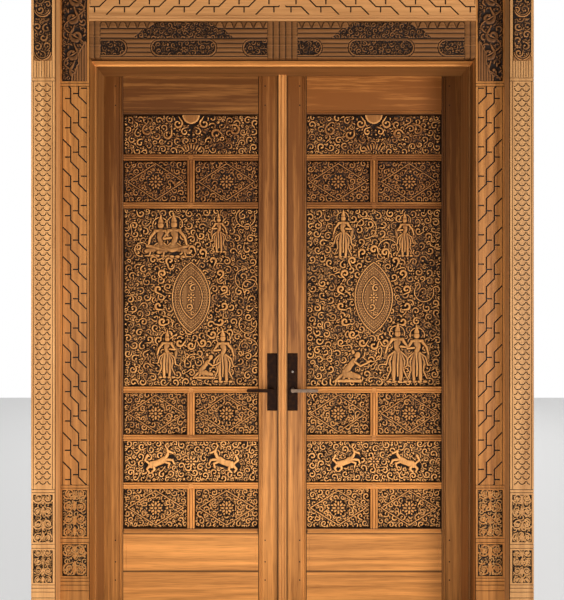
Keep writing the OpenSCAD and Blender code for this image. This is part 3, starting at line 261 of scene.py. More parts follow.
def lining_teak(head_z):
    """The linings' teak: upright boards at the sides with painted shade on the right one, and a board across the head
    above head_z, painted lighter as painted light.
    """
    mat = teak("Lining teak", "Z", (0.42, 0.17, 0.042), (0.14, 0.046, 0.010), 5)
    tree = mat.node_tree
    shader, upright = tree.nodes["Principled BSDF"], tree.nodes["Grain"]
    across = tree.nodes.new("ShaderNodeGroup")
    across.node_tree = TEAK
    across.inputs["Along"].default_value = ALONG["X"]
    # Painted light: the head board's colours are much lighter than the uprights'.
    across.inputs["Light"].default_value = (0.80, 0.35, 0.095, 1)
    across.inputs["Dark"].default_value = (0.30, 0.105, 0.024, 1)
    coords, split = tree.nodes.new("ShaderNodeTexCoord"), tree.nodes.new("ShaderNodeSeparateXYZ")
    tree.links.new(coords.outputs["Object"], split.inputs[0])
    above = tree.nodes.new("ShaderNodeMath")
    above.operation = "GREATER_THAN"
    above.inputs[1].default_value = head_z
    tree.links.new(split.outputs["Z"], above.inputs[0])
    mix = tree.nodes.new("ShaderNodeMix")
    mix.data_type = "RGBA"
    tree.links.new(above.outputs[0], mix.inputs["Factor"])
    tree.links.new(shaded_on_right(tree, upright.outputs["Color"], 0.5), mix.inputs[6])
    tree.links.new(across.outputs["Color"], mix.inputs[7])
    tree.links.new(mix.outputs[2], shader.inputs["Base Color"])
    return mat


head_underside = min(v.co.z for v in nodes["reveal_linings"].data.vertices if v.co.z > 2.0)
dress("reveal_linings", lining_teak(head_underside - 0.0005))
dress("centre_post", seam_shaded(teak("Post teak", "Z", (0.76, 0.34, 0.100), (0.24, 0.084, 0.020), 6, 0.9),
                            "centre_post", 0.005))

# The pilasters, header and cornice. Their patterns are cut into the boards with a gouge, and the cuts
# are darkened nearly to black with painted shade.


def recess_shade_group():
    """A mask of what lies within reach behind a board's front plane, rising with depth: the floors and walls of its
    cuts, where painted shade goes.
    """
    group = bpy.data.node_groups.new("Cut floors", "ShaderNodeTree")
    face = group.interface
    face.new_socket("Front", in_out="INPUT", socket_type="NodeSocketFloat").default_value = 0.0
    face.new_socket("Depth", in_out="INPUT", socket_type="NodeSocketFloat").default_value = 0.003
    face.new_socket("Reach", in_out="INPUT", socket_type="NodeSocketFloat").default_value = 0.009
    face.new_socket("Mask", in_out="OUTPUT", socket_type="NodeSocketFloat")
    add, link = group.nodes.new, group.links.new
    given, out = add("NodeGroupInput"), add("NodeGroupOutput")
    coords, split = add("ShaderNodeTexCoord"), add("ShaderNodeSeparateXYZ")
    link(coords.outputs["Object"], split.inputs[0])
    behind = add("ShaderNodeMath")
    behind.operation = "SUBTRACT"
    link(split.outputs["Y"], behind.inputs[0])
    link(given.outputs["Front"], behind.inputs[1])
    deep = add("ShaderNodeMapRange")
    link(behind.outputs[0], deep.inputs["Value"])
    link(given.outputs["Depth"], deep.inputs["From Max"])
    near = add("ShaderNodeMath")
    near.operation = "LESS_THAN"
    link(behind.outputs[0], near.inputs[0])
    link(given.outputs["Reach"], near.inputs[1])
    both = add("ShaderNodeMath")
    both.operation = "MULTIPLY"
    link(deep.outputs["Result"], both.inputs[0])
    link(near.outputs[0], both.inputs[1])
    link(both.outputs[0], out.inputs["Mask"])
    return group


CUTS = recess_shade_group()
# Painted shade: the near-black colour laid into cuts, carved hollows and the sides of bars.
RECESS_SHADE = (0.009, 0.0034, 0.001, 1)


def recess_shaded(mat, front):
    """Paints shade into the cuts of a board whose front plane is at y = front."""
    tree = mat.node_tree
    shader, grain = tree.nodes["Principled BSDF"], tree.nodes["Grain"]
    mask = tree.nodes.new("ShaderNodeGroup")
    mask.node_tree = CUTS
    mask.inputs["Front"].default_value = front
    mix = tree.nodes.new("ShaderNodeMix")
    mix.data_type = "RGBA"
    mix.inputs[7].default_value = RECESS_SHADE
    tree.links.new(mask.outputs["Mask"], mix.inputs["Factor"])
    tree.links.new(grain.outputs["Color"], mix.inputs[6])
    tree.links.new(mix.outputs[2], shader.inputs["Base Color"])
    return mat


PILASTER_LIGHT, PILASTER_DARK = (0.72, 0.36, 0.135), (0.36, 0.15, 0.045)
inner_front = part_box("inner_pilaster_right")[0].y
outer_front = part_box("outer_pilasters")[0].y
dress("inner_pilaster_left", recess_shaded(teak("Left board teak", "Z", CASING_LIGHT, CASING_DARK, 7), inner_front))
dress("inner_pilaster_right", recess_shaded(teak("Right board teak", "Z", CASING_LIGHT, CASING_DARK, 8), inner_front))
pilaster_teak = recess_shaded(teak("Pilaster teak", "Z", (0.80, 0.41, 0.155), (0.41, 0.175, 0.054), 9), outer_front)
pilaster_tree = pilaster_teak.node_tree
pilaster_colour = pilaster_tree.nodes["Principled BSDF"].inputs["Base Color"]
# Painted shade on the outer pilasters' right side.
pilaster_tree.links.new(shaded_on_right(pilaster_tree, pilaster_colour.links[0].from_socket, 0.64), pilaster_colour)
dress("outer_pilasters", pilaster_teak)
dress("header_board", recess_shaded(teak("Header teak", "X", (0.61, 0.30, 0.110), (0.30, 0.125, 0.037), 10), inner_front))
dress("cornice", teak("Cornice teak", "X", CASING_LIGHT, CASING_DARK, 11))

# The plain members of the leaves: stiles, rails, bars and ledges of oiled golden teak, mortised
# together and pegged. Each rail has its grain across and each stile has it upright.


def hollowed(mat, node):
    """Paints shade on the sloping sides of moulded bars, which lie behind their crests."""
    tree = mat.node_tree
    shader, grain = tree.nodes["Principled BSDF"], tree.nodes["Grain"]
    mask = tree.nodes.new("ShaderNodeGroup")
    mask.node_tree = CUTS
    mask.inputs["Front"].default_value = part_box(node)[0].y + 0.0015
    mask.inputs["Depth"].default_value = 0.012
    mask.inputs["Reach"].default_value = 0.020
    mix = tree.nodes.new("ShaderNodeMix")
    mix.data_type = "RGBA"
    mix.inputs[7].default_value = RECESS_SHADE
    tree.links.new(mask.outputs["Mask"], mix.inputs["Factor"])
    tree.links.new(grain.outputs["Color"], mix.inputs[6])
    tree.links.new(mix.outputs[2], shader.inputs["Base Color"])
    return mat


LEAF_LIGHT, LEAF_DARK = (0.76, 0.315, 0.080), (0.16, 0.052, 0.010)
# Painted shade towards the top of the leaves' teak.
PORCH_SHADE = 0.60
# Painted light and shade per board: the left top rail and both hinge stiles darkened as if in shade, the right top rail
# and the bars lightened as if lit.
BOARD_LIGHT_AND_SHADE = {"left_top_rail": 0.70, "right_top_rail": 1.28, "left_hinge_stile": 0.82, "right_hinge_stile": 0.66,
               "left_cross_bars": 1.22, "right_cross_bars": 1.22, "left_upright_bars": 1.15, "right_upright_bars": 1.15}
for number, side in enumerate(("left", "right")):
    first = 20 + 20 * number
    for offset, (part, along) in enumerate((
        ("hinge_stile", "Z"), ("meeting_stile", "Z"), ("top_rail", "X"), ("lower_rail", "X"),
        ("bottom_rail", "X"), ("cross_bars", "X"), ("upright_bars", "Z"), ("ledge", "X"),
    )):
        name = f"{side}_{part}"
        light, dark = ([share * BOARD_LIGHT_AND_SHADE.get(name, 1.0) for share in shares] for shares in (LEAF_LIGHT, LEAF_DARK))
        wood = teak(name.replace("_", " ").capitalize(), along, light, dark, first + offset, shade=PORCH_SHADE)
        shown = None
        if part == "meeting_stile":
            low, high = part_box(name)
            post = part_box("centre_post")
            shown = (low.x, post[0].x) if side == "left" else (post[1].x, high.x)
        dress(name, hollowed(wood, name) if "bars" in part else seam_shaded(wood, name, shown=shown))
peg_teak = teak("Peg end grain", "Z", (0.030, 0.012, 0.004), (0.012, 0.005, 0.002), 70)
for side in ("left", "right"):
    dress(f"{side}_pegs", peg_teak)

# The carved panels. Each is one teak board, carved by hand into scrolling vines round its own motif.
# The board's face is worked out as a field of heights on a fine grid, stroke by stroke.


class Carving:
    """A rectangle of carving. Strokes with rounded backs raise it, and the highest one wins."""

    def __init__(self, width, height, step, seed):
        self.step = step
        self.columns = int(round(width / step)) + 1
        self.rows = int(round(height / step)) + 1
        self.x = np.linspace(-width / 2, width / 2, self.columns)
        self.z = np.linspace(-height / 2, height / 2, self.rows)
        self.width, self.height = width, height
        self.h = np.zeros((self.rows, self.columns))
        self.plain = np.zeros((self.rows, self.columns))
        self.top = 0.0105
        self.rng = np.random.default_rng(seed)

    def window(self, x, z, reach):
        """The slices of the grid within reach of a point, and their places from it."""
        i0 = max(0, int((x - reach + self.width / 2) / self.step))
        i1 = min(self.columns, int((x + reach + self.width / 2) / self.step) + 2)
        j0 = max(0, int((z - reach + self.height / 2) / self.step))
        j1 = min(self.rows, int((z + reach + self.height / 2) / self.step) + 2)
        if i0 >= i1 or j0 >= j1:
            return None
        return np.s_[j0:j1, i0:i1], self.x[i0:i1][None, :] - x, self.z[j0:j1][:, None] - z

    def dome(self, x, z, radius, top, squash=1.0, turn=0.0, base=0.0):
        """A rounded boss, or a long leaf where squash is under 1, on a base height."""
        found = self.window(x, z, radius)
        if found is None:
            return
        part, dx, dz = found
        c, s = math.cos(turn), math.sin(turn)
        u, v = dx * c + dz * s, (dz * c - dx * s) / squash
        d = (u * u + v * v) / (radius * radius)
        rise = np.where(d < 1, base + (top - base) * np.sqrt(np.clip(1 - d, 0, 1)), 0)
        np.maximum(self.h[part], rise, out=self.h[part])

    def stroke(self, points, widths, tops, base=0.0):
        """A ridge with a rounded back along points, dense enough for its width."""
        points = np.asarray(points, float)
        gaps = np.hypot(*np.diff(points, axis=0).T)
        along = np.concatenate([[0], np.cumsum(gaps)])
        count = max(2, int(along[-1] / (self.step * 0.75)) + 1)
        at = np.linspace(0, along[-1], count)
        xs, zs = np.interp(at, along, points[:, 0]), np.interp(at, along, points[:, 1])
        ws = np.interp(at / along[-1], np.linspace(0, 1, len(np.atleast_1d(widths))), np.atleast_1d(widths))
        ts = np.interp(at / along[-1], np.linspace(0, 1, len(np.atleast_1d(tops))), np.atleast_1d(tops))
        for x, z, w, t in zip(xs, zs, ws, ts):
            self.dome(x, z, w, t, base=base)

    def scroll(self, x, z, radius, angle, hand, top, bold=0.22):
        """A vine's curl: a tail that comes in, a turn that swells and closes on a bud, and leaf lobes."""
        turns = self.rng.uniform(0.75, 1.15)
        t = np.linspace(0, 1, 20)
        a = angle + hand * 2 * math.pi * turns * t
        r = radius * (0.86 - 0.58 * t)
        points = np.stack([x + r * np.cos(a), z + r * np.sin(a)], 1)
        tail = points[0] + radius * 0.8 * np.array(
            [math.sin(angle) * hand + 0.45 * math.cos(angle), -math.cos(angle) * hand + 0.45 * math.sin(angle)])
        points = np.vstack([tail, points])
        w = max(bold * radius, self.step * 1.1)
        self.stroke(points, [w * 0.45, w * 0.9, w * 1.35, w * 1.15, w * 0.7], [top * 0.6, top, top, top * 0.9, top * 0.8])
        end = points[-1]
        self.dome(end[0], end[1], radius * 0.27, top * 1.05)
        for k in range(6):
            lobe = angle + hand * (0.3 + 0.95 * k)
            reach = radius * self.rng.uniform(1.02, 1.22)
            self.dome(x + reach * math.cos(lobe), z + reach * math.sin(lobe),
                      radius * 0.36, top * self.rng.uniform(0.55, 0.9), 0.42, lobe + 0.6 * hand)

    def leaf(self, x, z, length, turn, top, lobes=4):
        """A fan of long lobes that spread from one foot, the middle one the longest."""
        for k in range(lobes):
            off = k - (lobes - 1) / 2
            angle = turn + off * 0.60
            long = length * (1 - 0.13 * abs(off))
            self.dome(x + long * 0.58 * math.cos(angle), z + long * 0.58 * math.sin(angle),
                      long * 0.48, top * (1 - 0.10 * abs(off)), 0.42, angle)

    def pack(self, sizes, keep_out=None, top=0.010, spread=0.9):
        """Fills the rectangle with scrolls from the largest size to the smallest, over broad leaves."""
        self.top = top
        placed = np.zeros((0, 3))
        for _ in range(int(self.width * self.height / 0.0013)):
            x = self.rng.uniform(-self.width / 2, self.width / 2)
            z = self.rng.uniform(-self.height / 2, self.height / 2)
            self.leaf(x, z, sizes[0] * self.rng.uniform(1.2, 2.0), self.rng.uniform(0, 6.28),
                      top * self.rng.uniform(0.6, 0.95))
        for _ in range(int(self.width * self.height / 0.00016)):
            x = self.rng.uniform(-self.width / 2, self.width / 2)
            z = self.rng.uniform(-self.height / 2, self.height / 2)
            self.dome(x, z, self.rng.uniform(0.005, 0.009), top * self.rng.uniform(0.3, 0.8), 0.42,
                      self.rng.uniform(0, 6.28))
        for radius in sizes:
            tries = int(5 * self.width * self.height / (radius * radius))
            tries = min(tries, 9000)
            xs = self.rng.uniform(-self.width / 2 + radius * 0.7, self.width / 2 - radius * 0.7, tries)
            zs = self.rng.uniform(-self.height / 2 + radius * 0.7, self.height / 2 - radius * 0.7, tries)
            for x, z in zip(xs, zs):
                if keep_out is not None and keep_out(x, z, radius):
                    continue
                if len(placed):
                    d = np.hypot(placed[:, 0] - x, placed[:, 1] - z)
                    if np.any(d < (placed[:, 2] + radius) * spread):
                        continue
                placed = np.vstack([placed, [x, z, radius]])
        for x, z, radius in placed:
            angle = self.rng.uniform(0, 2 * math.pi)
            hand = 1 if self.rng.random() > 0.5 else -1
            rise = top * self.rng.uniform(0.8, 1.1)
            if radius > sizes[-1] * 1.2:
                self.scroll(x, z, radius, angle, hand, rise)
            else:
                self.dome(x, z, radius, rise * 0.8, 0.55, angle)
                self.dome(x + radius * 0.5 * math.cos(angle + 1.2), z + radius * 0.5 * math.sin(angle + 1.2),
                          radius * 0.7, rise * 0.7, 0.5, angle + 1.2)

    def clear(self, points, radius, level=0.0):
        """Sinks the ground near points, so that what stands there is set off from the vines."""
        for x, z in points:
            found = self.window(x, z, radius)
            if found is not None:
                part, dx, dz = found
                d = np.sqrt(dx * dx + dz * dz) / radius
                self.h[part] = np.minimum(self.h[part], level + 0.02 * np.clip(d - 0.7, 0, 1))


def blurred(field, reach):
    """A field averaged over a square of 2 * reach + 1 cells, at its own size."""
    for axis in (0, 1):
        padded = np.concatenate([
            np.repeat(field.take([0], axis), reach + 1, axis), field,
            np.repeat(field.take([-1], axis), reach, axis)], axis)
        total = np.cumsum(padded, axis)
        upper = total.take(range(2 * reach + 1, total.shape[axis]), axis)
        lower = total.take(range(0, total.shape[axis] - 2 * reach - 1), axis)
        field = (upper - lower) / (2 * reach + 1)
    return field


def carved_board(carving, x_mid, z_mid, ground_y, back_y):
    """Points, faces and shade of a board: its carved face, its edges and its back, all closed."""
    xx, zz = np.meshgrid(carving.x + x_mid, carving.z + z_mid)
    points = np.stack([xx, ground_y - carving.h, zz], -1).reshape(-1, 3)
    n, rows = carving.columns, carving.rows
    j, i = np.meshgrid(np.arange(rows - 1), np.arange(n - 1), indexing="ij")
    a = (j * n + i).ravel()
    face = np.stack([a, a + 1, a + n + 1, a + n], 1)
    foot, head = np.arange(n), (rows - 1) * n + np.arange(n)
    sides = np.arange(rows) * n
    ring = np.concatenate([foot, sides[1:] + n - 1, head[-2::-1], sides[-2:0:-1]])
    behind = points[ring].copy()
    behind[:, 1] = back_y
    start, turned = len(points), np.roll(np.arange(len(ring)), -1)
    edges = np.stack([ring, start + np.arange(len(ring)), start + turned, ring[turned]], 1)
    middle = start + len(ring)
    back = np.stack([start + np.arange(len(ring)), np.full(len(ring), middle), start + turned], 1)
    # The relief shade is painted shade: darker where the carving lies below the heights around it and low over its
    # ground, lighter on its crests, and smoother on plain parts.
    around = blurred(carving.h, max(2, int(0.006 / carving.step)))
    depth = np.clip(0.5 + (carving.h - around) / (0.67 * carving.top), 0, 1)
    low = np.clip(carving.h / (0.86 * carving.top), 0, 1)
    # Painted shade along the board's border, within 9 mm of it, where it meets the frame.
    rim = np.minimum(carving.width / 2 - np.abs(carving.x)[None, :], carving.height / 2 - np.abs(carving.z)[:, None])
    edge_shade = np.maximum(np.clip(0.25 + rim / 0.009, 0, 1), carving.plain)
    carved, smooth = depth * (0.25 + 0.75 * low), np.clip(0.66 + (carving.h - around) / 0.006, 0, 0.9)
    carved = carved + (smooth - carved) * carving.plain
    shade = np.concatenate([(carved * edge_shade).ravel(), np.full(len(ring) + 1, 0.55)])
    return np.vstack([points, behind, [[x_mid, back_y, z_mid]]]), [face, edges, back], shade


def mesh_piece(name, boards, material):
    """One object from boards of (points, faces, relief shade)."""
    points, shades, corners, sizes, start = [], [], [], [], 0
    for p, faces, shade in boards:
        points.append(p)
        shades.append(shade)
        for block_of_faces in faces:
            corners.append((block_of_faces + start).ravel())
            sizes.append(np.full(len(block_of_faces), block_of_faces.shape[1]))
        start += len(p)
    points, corners, sizes = np.concatenate(points), np.concatenate(corners), np.concatenate(sizes)
    mesh = bpy.data.meshes.new(name)
    mesh.vertices.add(len(points))
    mesh.vertices.foreach_set("co", points.astype(np.float32).ravel())
    mesh.loops.add(len(corners))
    mesh.loops.foreach_set("vertex_index", corners.astype(np.int32))
    mesh.polygons.add(len(sizes))
    mesh.polygons.foreach_set("loop_start", np.concatenate([[0], np.cumsum(sizes)[:-1]]).astype(np.int32))
    mesh.polygons.foreach_set("use_smooth", sizes == 4)
    shade = mesh.attributes.new("relief", "FLOAT", "POINT")
    shade.data.foreach_set("value", np.concatenate(shades).astype(np.float32))
    mesh.update(calc_edges=True)
    mesh.validate()
    piece = bpy.data.objects.new(name, mesh)
    bpy.context.scene.collection.objects.link(piece)
    mesh.materials.append(material)
    return piece


def carved_teak(name, along="Z", light=(0.84, 0.405, 0.130), dark=(0.24, 0.085, 0.022), board=0.0, shade=PORCH_SHADE):
    """Teak with painted shade in its hollows and a painted golden highlight on its ridges, both led by the relief
    shade.
    """
    mat = teak(name, along, light, dark, board, 0.7, 0.45, shade)
    tree = mat.node_tree
    shader, grain = tree.nodes["Principled BSDF"], tree.nodes["Grain"]
    relief = tree.nodes.new("ShaderNodeAttribute")
    relief.attribute_name = "relief"
    # Painted shade: near-black where the relief shade is low.
    curve = tree.nodes.new("ShaderNodeMapRange")
    curve.inputs["From Min"].default_value = 0.38
    curve.inputs["From Max"].default_value = 0.72
    tree.links.new(relief.outputs["Fac"], curve.inputs["Value"])
    mix = tree.nodes.new("ShaderNodeMix")
    mix.data_type = "RGBA"
    mix.inputs[6].default_value = RECESS_SHADE
    tree.links.new(curve.outputs["Result"], mix.inputs["Factor"])
    tree.links.new(grain.outputs["Color"], mix.inputs[7])
    # Painted highlight on the crests, weaker where the shade argument is strong.
    highlight_share = tree.nodes.new("ShaderNodeMapRange")
    highlight_share.inputs["From Min"].default_value = 0.62
    highlight_share.inputs["From Max"].default_value = 1.0
    highlight_share.inputs["To Max"].default_value = min(0.85, 1.45 - shade)
    tree.links.new(relief.outputs["Fac"], highlight_share.inputs["Value"])
    crest_highlight = tree.nodes.new("ShaderNodeMix")
    crest_highlight.data_type = "RGBA"
    crest_highlight.inputs[7].default_value = (*light, 1)
    tree.links.new(highlight_share.outputs["Result"], crest_highlight.inputs["Factor"])
    tree.links.new(mix.outputs[2], crest_highlight.inputs[6])
    tree.links.new(crest_highlight.outputs[2], shader.inputs["Base Color"])
    shader.inputs["Specular IOR Level"].default_value = 0.10
    return mat


PANEL_GROUND = 0.0205
SIDE_SIGN = {"left": -1, "right": 1}


def person(carving, x, z, h, mirror=1, seated=False):
    """A small dancer or attendant in low relief and flowing dress, with a plain rounded head."""
    def at(u, v):
        return (x + mirror * u * h, z + v * h)

    def limb(points, widths, rise=1.0):
        carving.stroke([at(u, v - drop) for u, v in points], [w * h for w in widths], [top * rise] * 2)

    top, drop = 0.0140, 0.30 if seated else 0.0
    carving.clear([at(0, v) for v in np.linspace(0.05, 0.9 - drop, 8)], h * 0.10, 0.005)
    t = np.linspace(-0.3, math.pi + 0.3, 16)
    before = carving.h.copy()
    carving.stroke([at(0.13 * math.cos(a), 0.84 - drop + 0.13 * math.sin(a)) for a in t], [h * 0.012] * 2, [0.0125] * 2)
    if seated:
        limb(((-0.24, 0.38), (0.02, 0.47), (0.26, 0.38)), (0.050, 0.085, 0.050), 0.95)
        limb(((-0.22, 0.47), (0.05, 0.41), (0.20, 0.45)), (0.040, 0.050, 0.040), 1.05)
    else:
        for sign in (-1, 1):
            limb(((sign * 0.09, 0.74), (sign * 0.21, 0.60), (sign * 0.19, 0.42), (sign * 0.13, 0.28)), (0.03, 0.055, 0.05, 0.02), 0.7)
            limb(((sign * 0.035, 0.50), (sign * 0.065 + 0.01, 0.28), (sign * 0.06, 0.03)), (0.055, 0.052, 0.036), 0.95)
            limb(((sign * 0.07, 0.50), (sign * 0.13, 0.36), (sign * 0.11, 0.20), (sign * 0.18, 0.05)), (0.02, 0.026, 0.022, 0.012), 0.85)
        limb(((0.02, 0.50), (0.005, 0.28), (0.01, 0.10)), (0.030, 0.026, 0.018), 1.12)
    limb(((0.07, 0.52), (0.17, 0.42), (0.19, 0.28), (0.28, 0.24)), (0.016, 0.026, 0.022, 0.010), 0.9)
    limb(((-0.05, 0.52), (-0.15, 0.44), (-0.19, 0.30), (-0.27, 0.30)), (0.016, 0.026, 0.022, 0.010), 0.9)
    carving.dome(*at(0.02, 0.50 - drop), h * 0.085, top, 0.8)
    limb(((0.02, 0.50), (-0.01, 0.62), (0.01, 0.72)), (0.055, 0.056, 0.080), 1.05)
    limb(((-0.09, 0.73), (0.10, 0.73)), (0.038, 0.038), 1.05)
    limb(((0.10, 0.72), (0.18, 0.60), (0.06, 0.61)), (0.036, 0.031, 0.026), 1.15)
    limb(((-0.09, 0.72), (-0.17, 0.62), (-0.20, 0.50)), (0.036, 0.031, 0.024), 1.1)
    carving.dome(*at(0.01, 0.83 - drop), h * 0.062, top * 1.25, 1.15)
    limb(((0.01, 0.89), (0.012, 0.95), (0.015, 1.02)), (0.056, 0.036, 0.010), 1.1)
    for u in (-0.14, -0.05, 0.05, 0.14):
        carving.dome(*at(u, 0.0), h * 0.06, top * 0.85, 0.55)
    carving.plain[carving.h > np.maximum(before, 0.0095)] = 0.5


def kneeling(carving, x, z, h, mirror=1):
    """A kneeling attendant in profile who holds up an offering."""
    def limb(points, widths, rise=1.0):
        carving.stroke([(x + mirror * u * h * 1.25, z + v * h) for u, v in points],
                       [w * h * 1.12 for w in widths], [0.014 * rise] * 2)

    carving.clear([(x + mirror * (v - 0.4) * 0.5 * h, z + v * h) for v in np.linspace(0.1, 0.8, 6)], h * 0.15, 0.005)
    before = carving.h.copy()
    for fold in range(4):
        limb(((-0.16 + 0.05 * fold, 0.28), (-0.27 + 0.10 * fold, 0.16), (-0.36 + 0.16 * fold, 0.04)), (0.05, 0.06, 0.045), 0.9)
    limb(((-0.30, 0.05), (0.20, 0.05)), (0.055, 0.055))
    limb(((-0.14, 0.25), (0.16, 0.16)), (0.13, 0.075), 1.05)
    limb(((-0.14, 0.30), (-0.02, 0.50), (0.06, 0.62)), (0.115, 0.085, 0.085), 1.05)
    limb(((0.06, 0.60), (0.20, 0.47), (0.36, 0.56)), (0.042, 0.036, 0.030), 1.2)
    limb(((0.36, 0.58), (0.44, 0.62)), (0.045, 0.030), 1.1)
    limb(((0.08, 0.64), (0.12, 0.72)), (0.045, 0.045), 1.1)
    limb(((0.13, 0.77), (0.14, 0.80)), (0.085, 0.080), 1.25)
    limb(((0.04, 0.86), (0.03, 0.90)), (0.052, 0.045), 1.15)
    carving.plain[carving.h > np.maximum(before, 0.0095)] = 0.5


def beast(carving, x, z, length, mirror=1, horned=True):
    """A deer-like beast that leaps through the leaves."""
    def at(u, v):
        return (x + mirror * u * length, z + v * length)

    limb, top = length * 0.062, 0.0145
    carving.clear([at(u, 0.30 + u * 0.3) for u in np.linspace(-0.40, 0.40, 9)], length * 0.20, 0.004)
    before = carving.h.copy()
    carving.stroke([at(-0.26, 0.24), at(-0.02, 0.32), at(0.18, 0.42)],
                   [length * 0.14, length * 0.11, length * 0.135], [top * 1.05] * 2)
    carving.stroke([at(0.20, 0.46), at(0.29, 0.62), at(0.30, 0.70)], [length * 0.08, length * 0.055], [top * 1.05] * 2)
    carving.stroke([at(0.29, 0.71), at(0.46, 0.64)], [length * 0.065, length * 0.035], [top * 1.1, top])
    for points in (((-0.30, 0.22), (-0.42, 0.10), (-0.36, 0.0)), ((-0.20, 0.20), (-0.16, 0.08), (-0.26, -0.02)),
                   ((0.18, 0.36), (0.34, 0.28), (0.30, 0.14)), ((0.24, 0.42), (0.44, 0.40), (0.50, 0.28))):
        carving.stroke([at(*p) for p in points], [limb * 1.1, limb * 0.8, limb * 0.6], [top, top * 0.95, top * 0.85])
    carving.stroke([at(-0.34, 0.28), at(-0.48, 0.40), at(-0.40, 0.56)], [limb * 0.7, limb * 0.8, limb * 0.9], [top] * 2)
    if horned:
        carving.stroke([at(0.28, 0.76), at(0.20, 0.88), at(0.26, 0.96)], [limb * 0.5] * 2, [top] * 2)
    carving.dome(*at(0.26, 0.76), limb * 0.8, top, 0.5, 1.0)
    carving.plain[carving.h > np.maximum(before, 0.007)] = 0.85


def vesica_points(a, b, count=60):
    """The outline of a pointed oval of half width a and half height b."""
    big = (a * a + b * b) / (2 * a)
    half = math.asin(b / big)
    t = np.linspace(-half, half, count // 2)
    right = np.stack([a - big + big * np.cos(t), big * np.sin(t)], 1)
    return np.vstack([right, -right, right[:1]])


def medallion(carving, a, b):
    """The pointed medallion with its bead rows, flower and S-curves, in a ring of bold curls."""
    xx, zz = np.meshgrid(carving.x, carving.z)
    inside = np.abs(xx) / a + (zz / b) ** 2 * (1 - np.abs(xx) / (4 * a)) < 1.06
    carving.h[inside] = 0.0070
    carving.plain[inside] = 0.45
    for scale, width, top in ((1.0, 0.0034, 0.0125), (0.86, 0.0022, 0.010), (0.60, 0.0030, 0.0125)):
        carving.stroke(vesica_points(a * scale, b * (scale * 0.98)), [width] * 2, [top] * 2)
    for scale, count, size in ((0.93, 62, 0.0026), (0.79, 50, 0.0030), (0.69, 42, 0.0030), (0.48, 30, 0.0026)):
        for x, z in vesica_points(a * scale, b * scale * 0.98, count):
            carving.dome(x, z, size, 0.0105)
    for k in range(-6, 7):
        carving.dome(0, k * b * 0.075, a * 0.05, 0.010)
    for k in range(8):
        t = k * math.pi / 4
        carving.dome(a * 0.17 * math.cos(t), a * 0.17 * math.sin(t), a * 0.11, 0.011, 0.6, t)
    carving.dome(0, 0, a * 0.09, 0.014)
    for sign in (-1, 1):
        carving.scroll(sign * a * 0.10, sign * b * 0.26, a * 0.22, math.pi / 2 * sign, 1, 0.012)
        carving.scroll(-sign * a * 0.08, sign * b * 0.43, a * 0.15, 0.0, -1, 0.011)
    curls = 18
    for k in range(curls):
        t = 2 * math.pi * (k + 0.5) / curls
        x, z = 1.78 * a * math.cos(t), 1.34 * b * math.sin(t)
        hand = 1 if x > 0 else -1
        carving.clear([(x, z)], a * 0.27)
        carving.scroll(x, z, a * 0.25, t - hand * math.pi * 0.55, hand, 0.0155, 0.27)


def tall_panel(side):
    """The tall panel's carving: the medallion in the middle, figures round it, and vines everywhere."""
    low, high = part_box(f"{side}_figure_panel")
    grow = 0.007
    width, height = high.x - low.x - 2 * grow, high.z - low.z - 2 * grow
    carving = Carving(width, height, 0.0024, 11 if side == "left" else 12)
    a, b = width * 0.139, width * 0.267

    def keep_out(x, z, radius):
        return (x / (1.02 * a)) ** 2 + (z / (0.9 * b)) ** 2 < 1

    carving.pack([0.021, 0.016, 0.0125, 0.009, 0.006, 0.0042], keep_out, 0.0105, 0.93)
    for k in range(9):
        x, z = carving.rng.uniform(-0.3, 0.3), carving.rng.uniform(-0.38, 0.38)
        r, t0 = carving.rng.uniform(0.03, 0.05), carving.rng.uniform(0, 6.28)
        if not keep_out(x, z, 0) and not keep_out(x + 0.02, z, 0):
            t = t0 + np.linspace(0, 4.4, 24)
            carving.stroke(np.stack([x + r * np.cos(t), z + r * np.sin(t)], 1), [0.0028] * 2, [0.0125] * 2)
    medallion(carving, a, b)
    foot, top = -height / 2, height / 2
    if side == "left":
        person(carving, -0.146, top - 0.222, 0.270, 1, True)
        person(carving, -0.078, top - 0.226, 0.285, -1, True)
        person(carving, 0.132, top - 0.203, 0.180, -1)
        person(carving, -0.115, foot + 0.043, 0.218)
        person(carving, 0.152, foot + 0.022, 0.245, -1)
        kneeling(carving, 0.070, foot + 0.035, 0.130)
    else:
        person(carving, -0.146, top - 0.227, 0.218)
        person(carving, 0.148, top - 0.222, 0.200, -1)
        kneeling(carving, -0.105, foot + 0.018, 0.165)
        person(carving, 0.110, foot + 0.022, 0.272)
        person(carving, 0.205, foot + 0.022, 0.262, -1)
    return carving, low, high


def finish_panel(name, node, side, parts, material):
    """Joins the faces of a node's boards with their backs, and puts the piece in the node's place."""
    back_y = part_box(node)[1].y
    piece = mesh_piece(name, [carved_board(*part, PANEL_GROUND, back_y) for part in parts], material)
    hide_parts(node)
    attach(piece, f"{side}_leaf")
    return piece


for number, side in enumerate(("left", "right")):
    carving, low, high = tall_panel(side)
    finish_panel(f"{side}_tall_carving", f"{side}_figure_panel", side,
                 [(carving, (low.x + high.x) / 2, (low.z + high.z) / 2)],
                 carved_teak(f"{side.capitalize()} tall panel teak", board=80 + number))

# The top panels: a plain half disc under the rail between two pairs of volutes, over a fan.


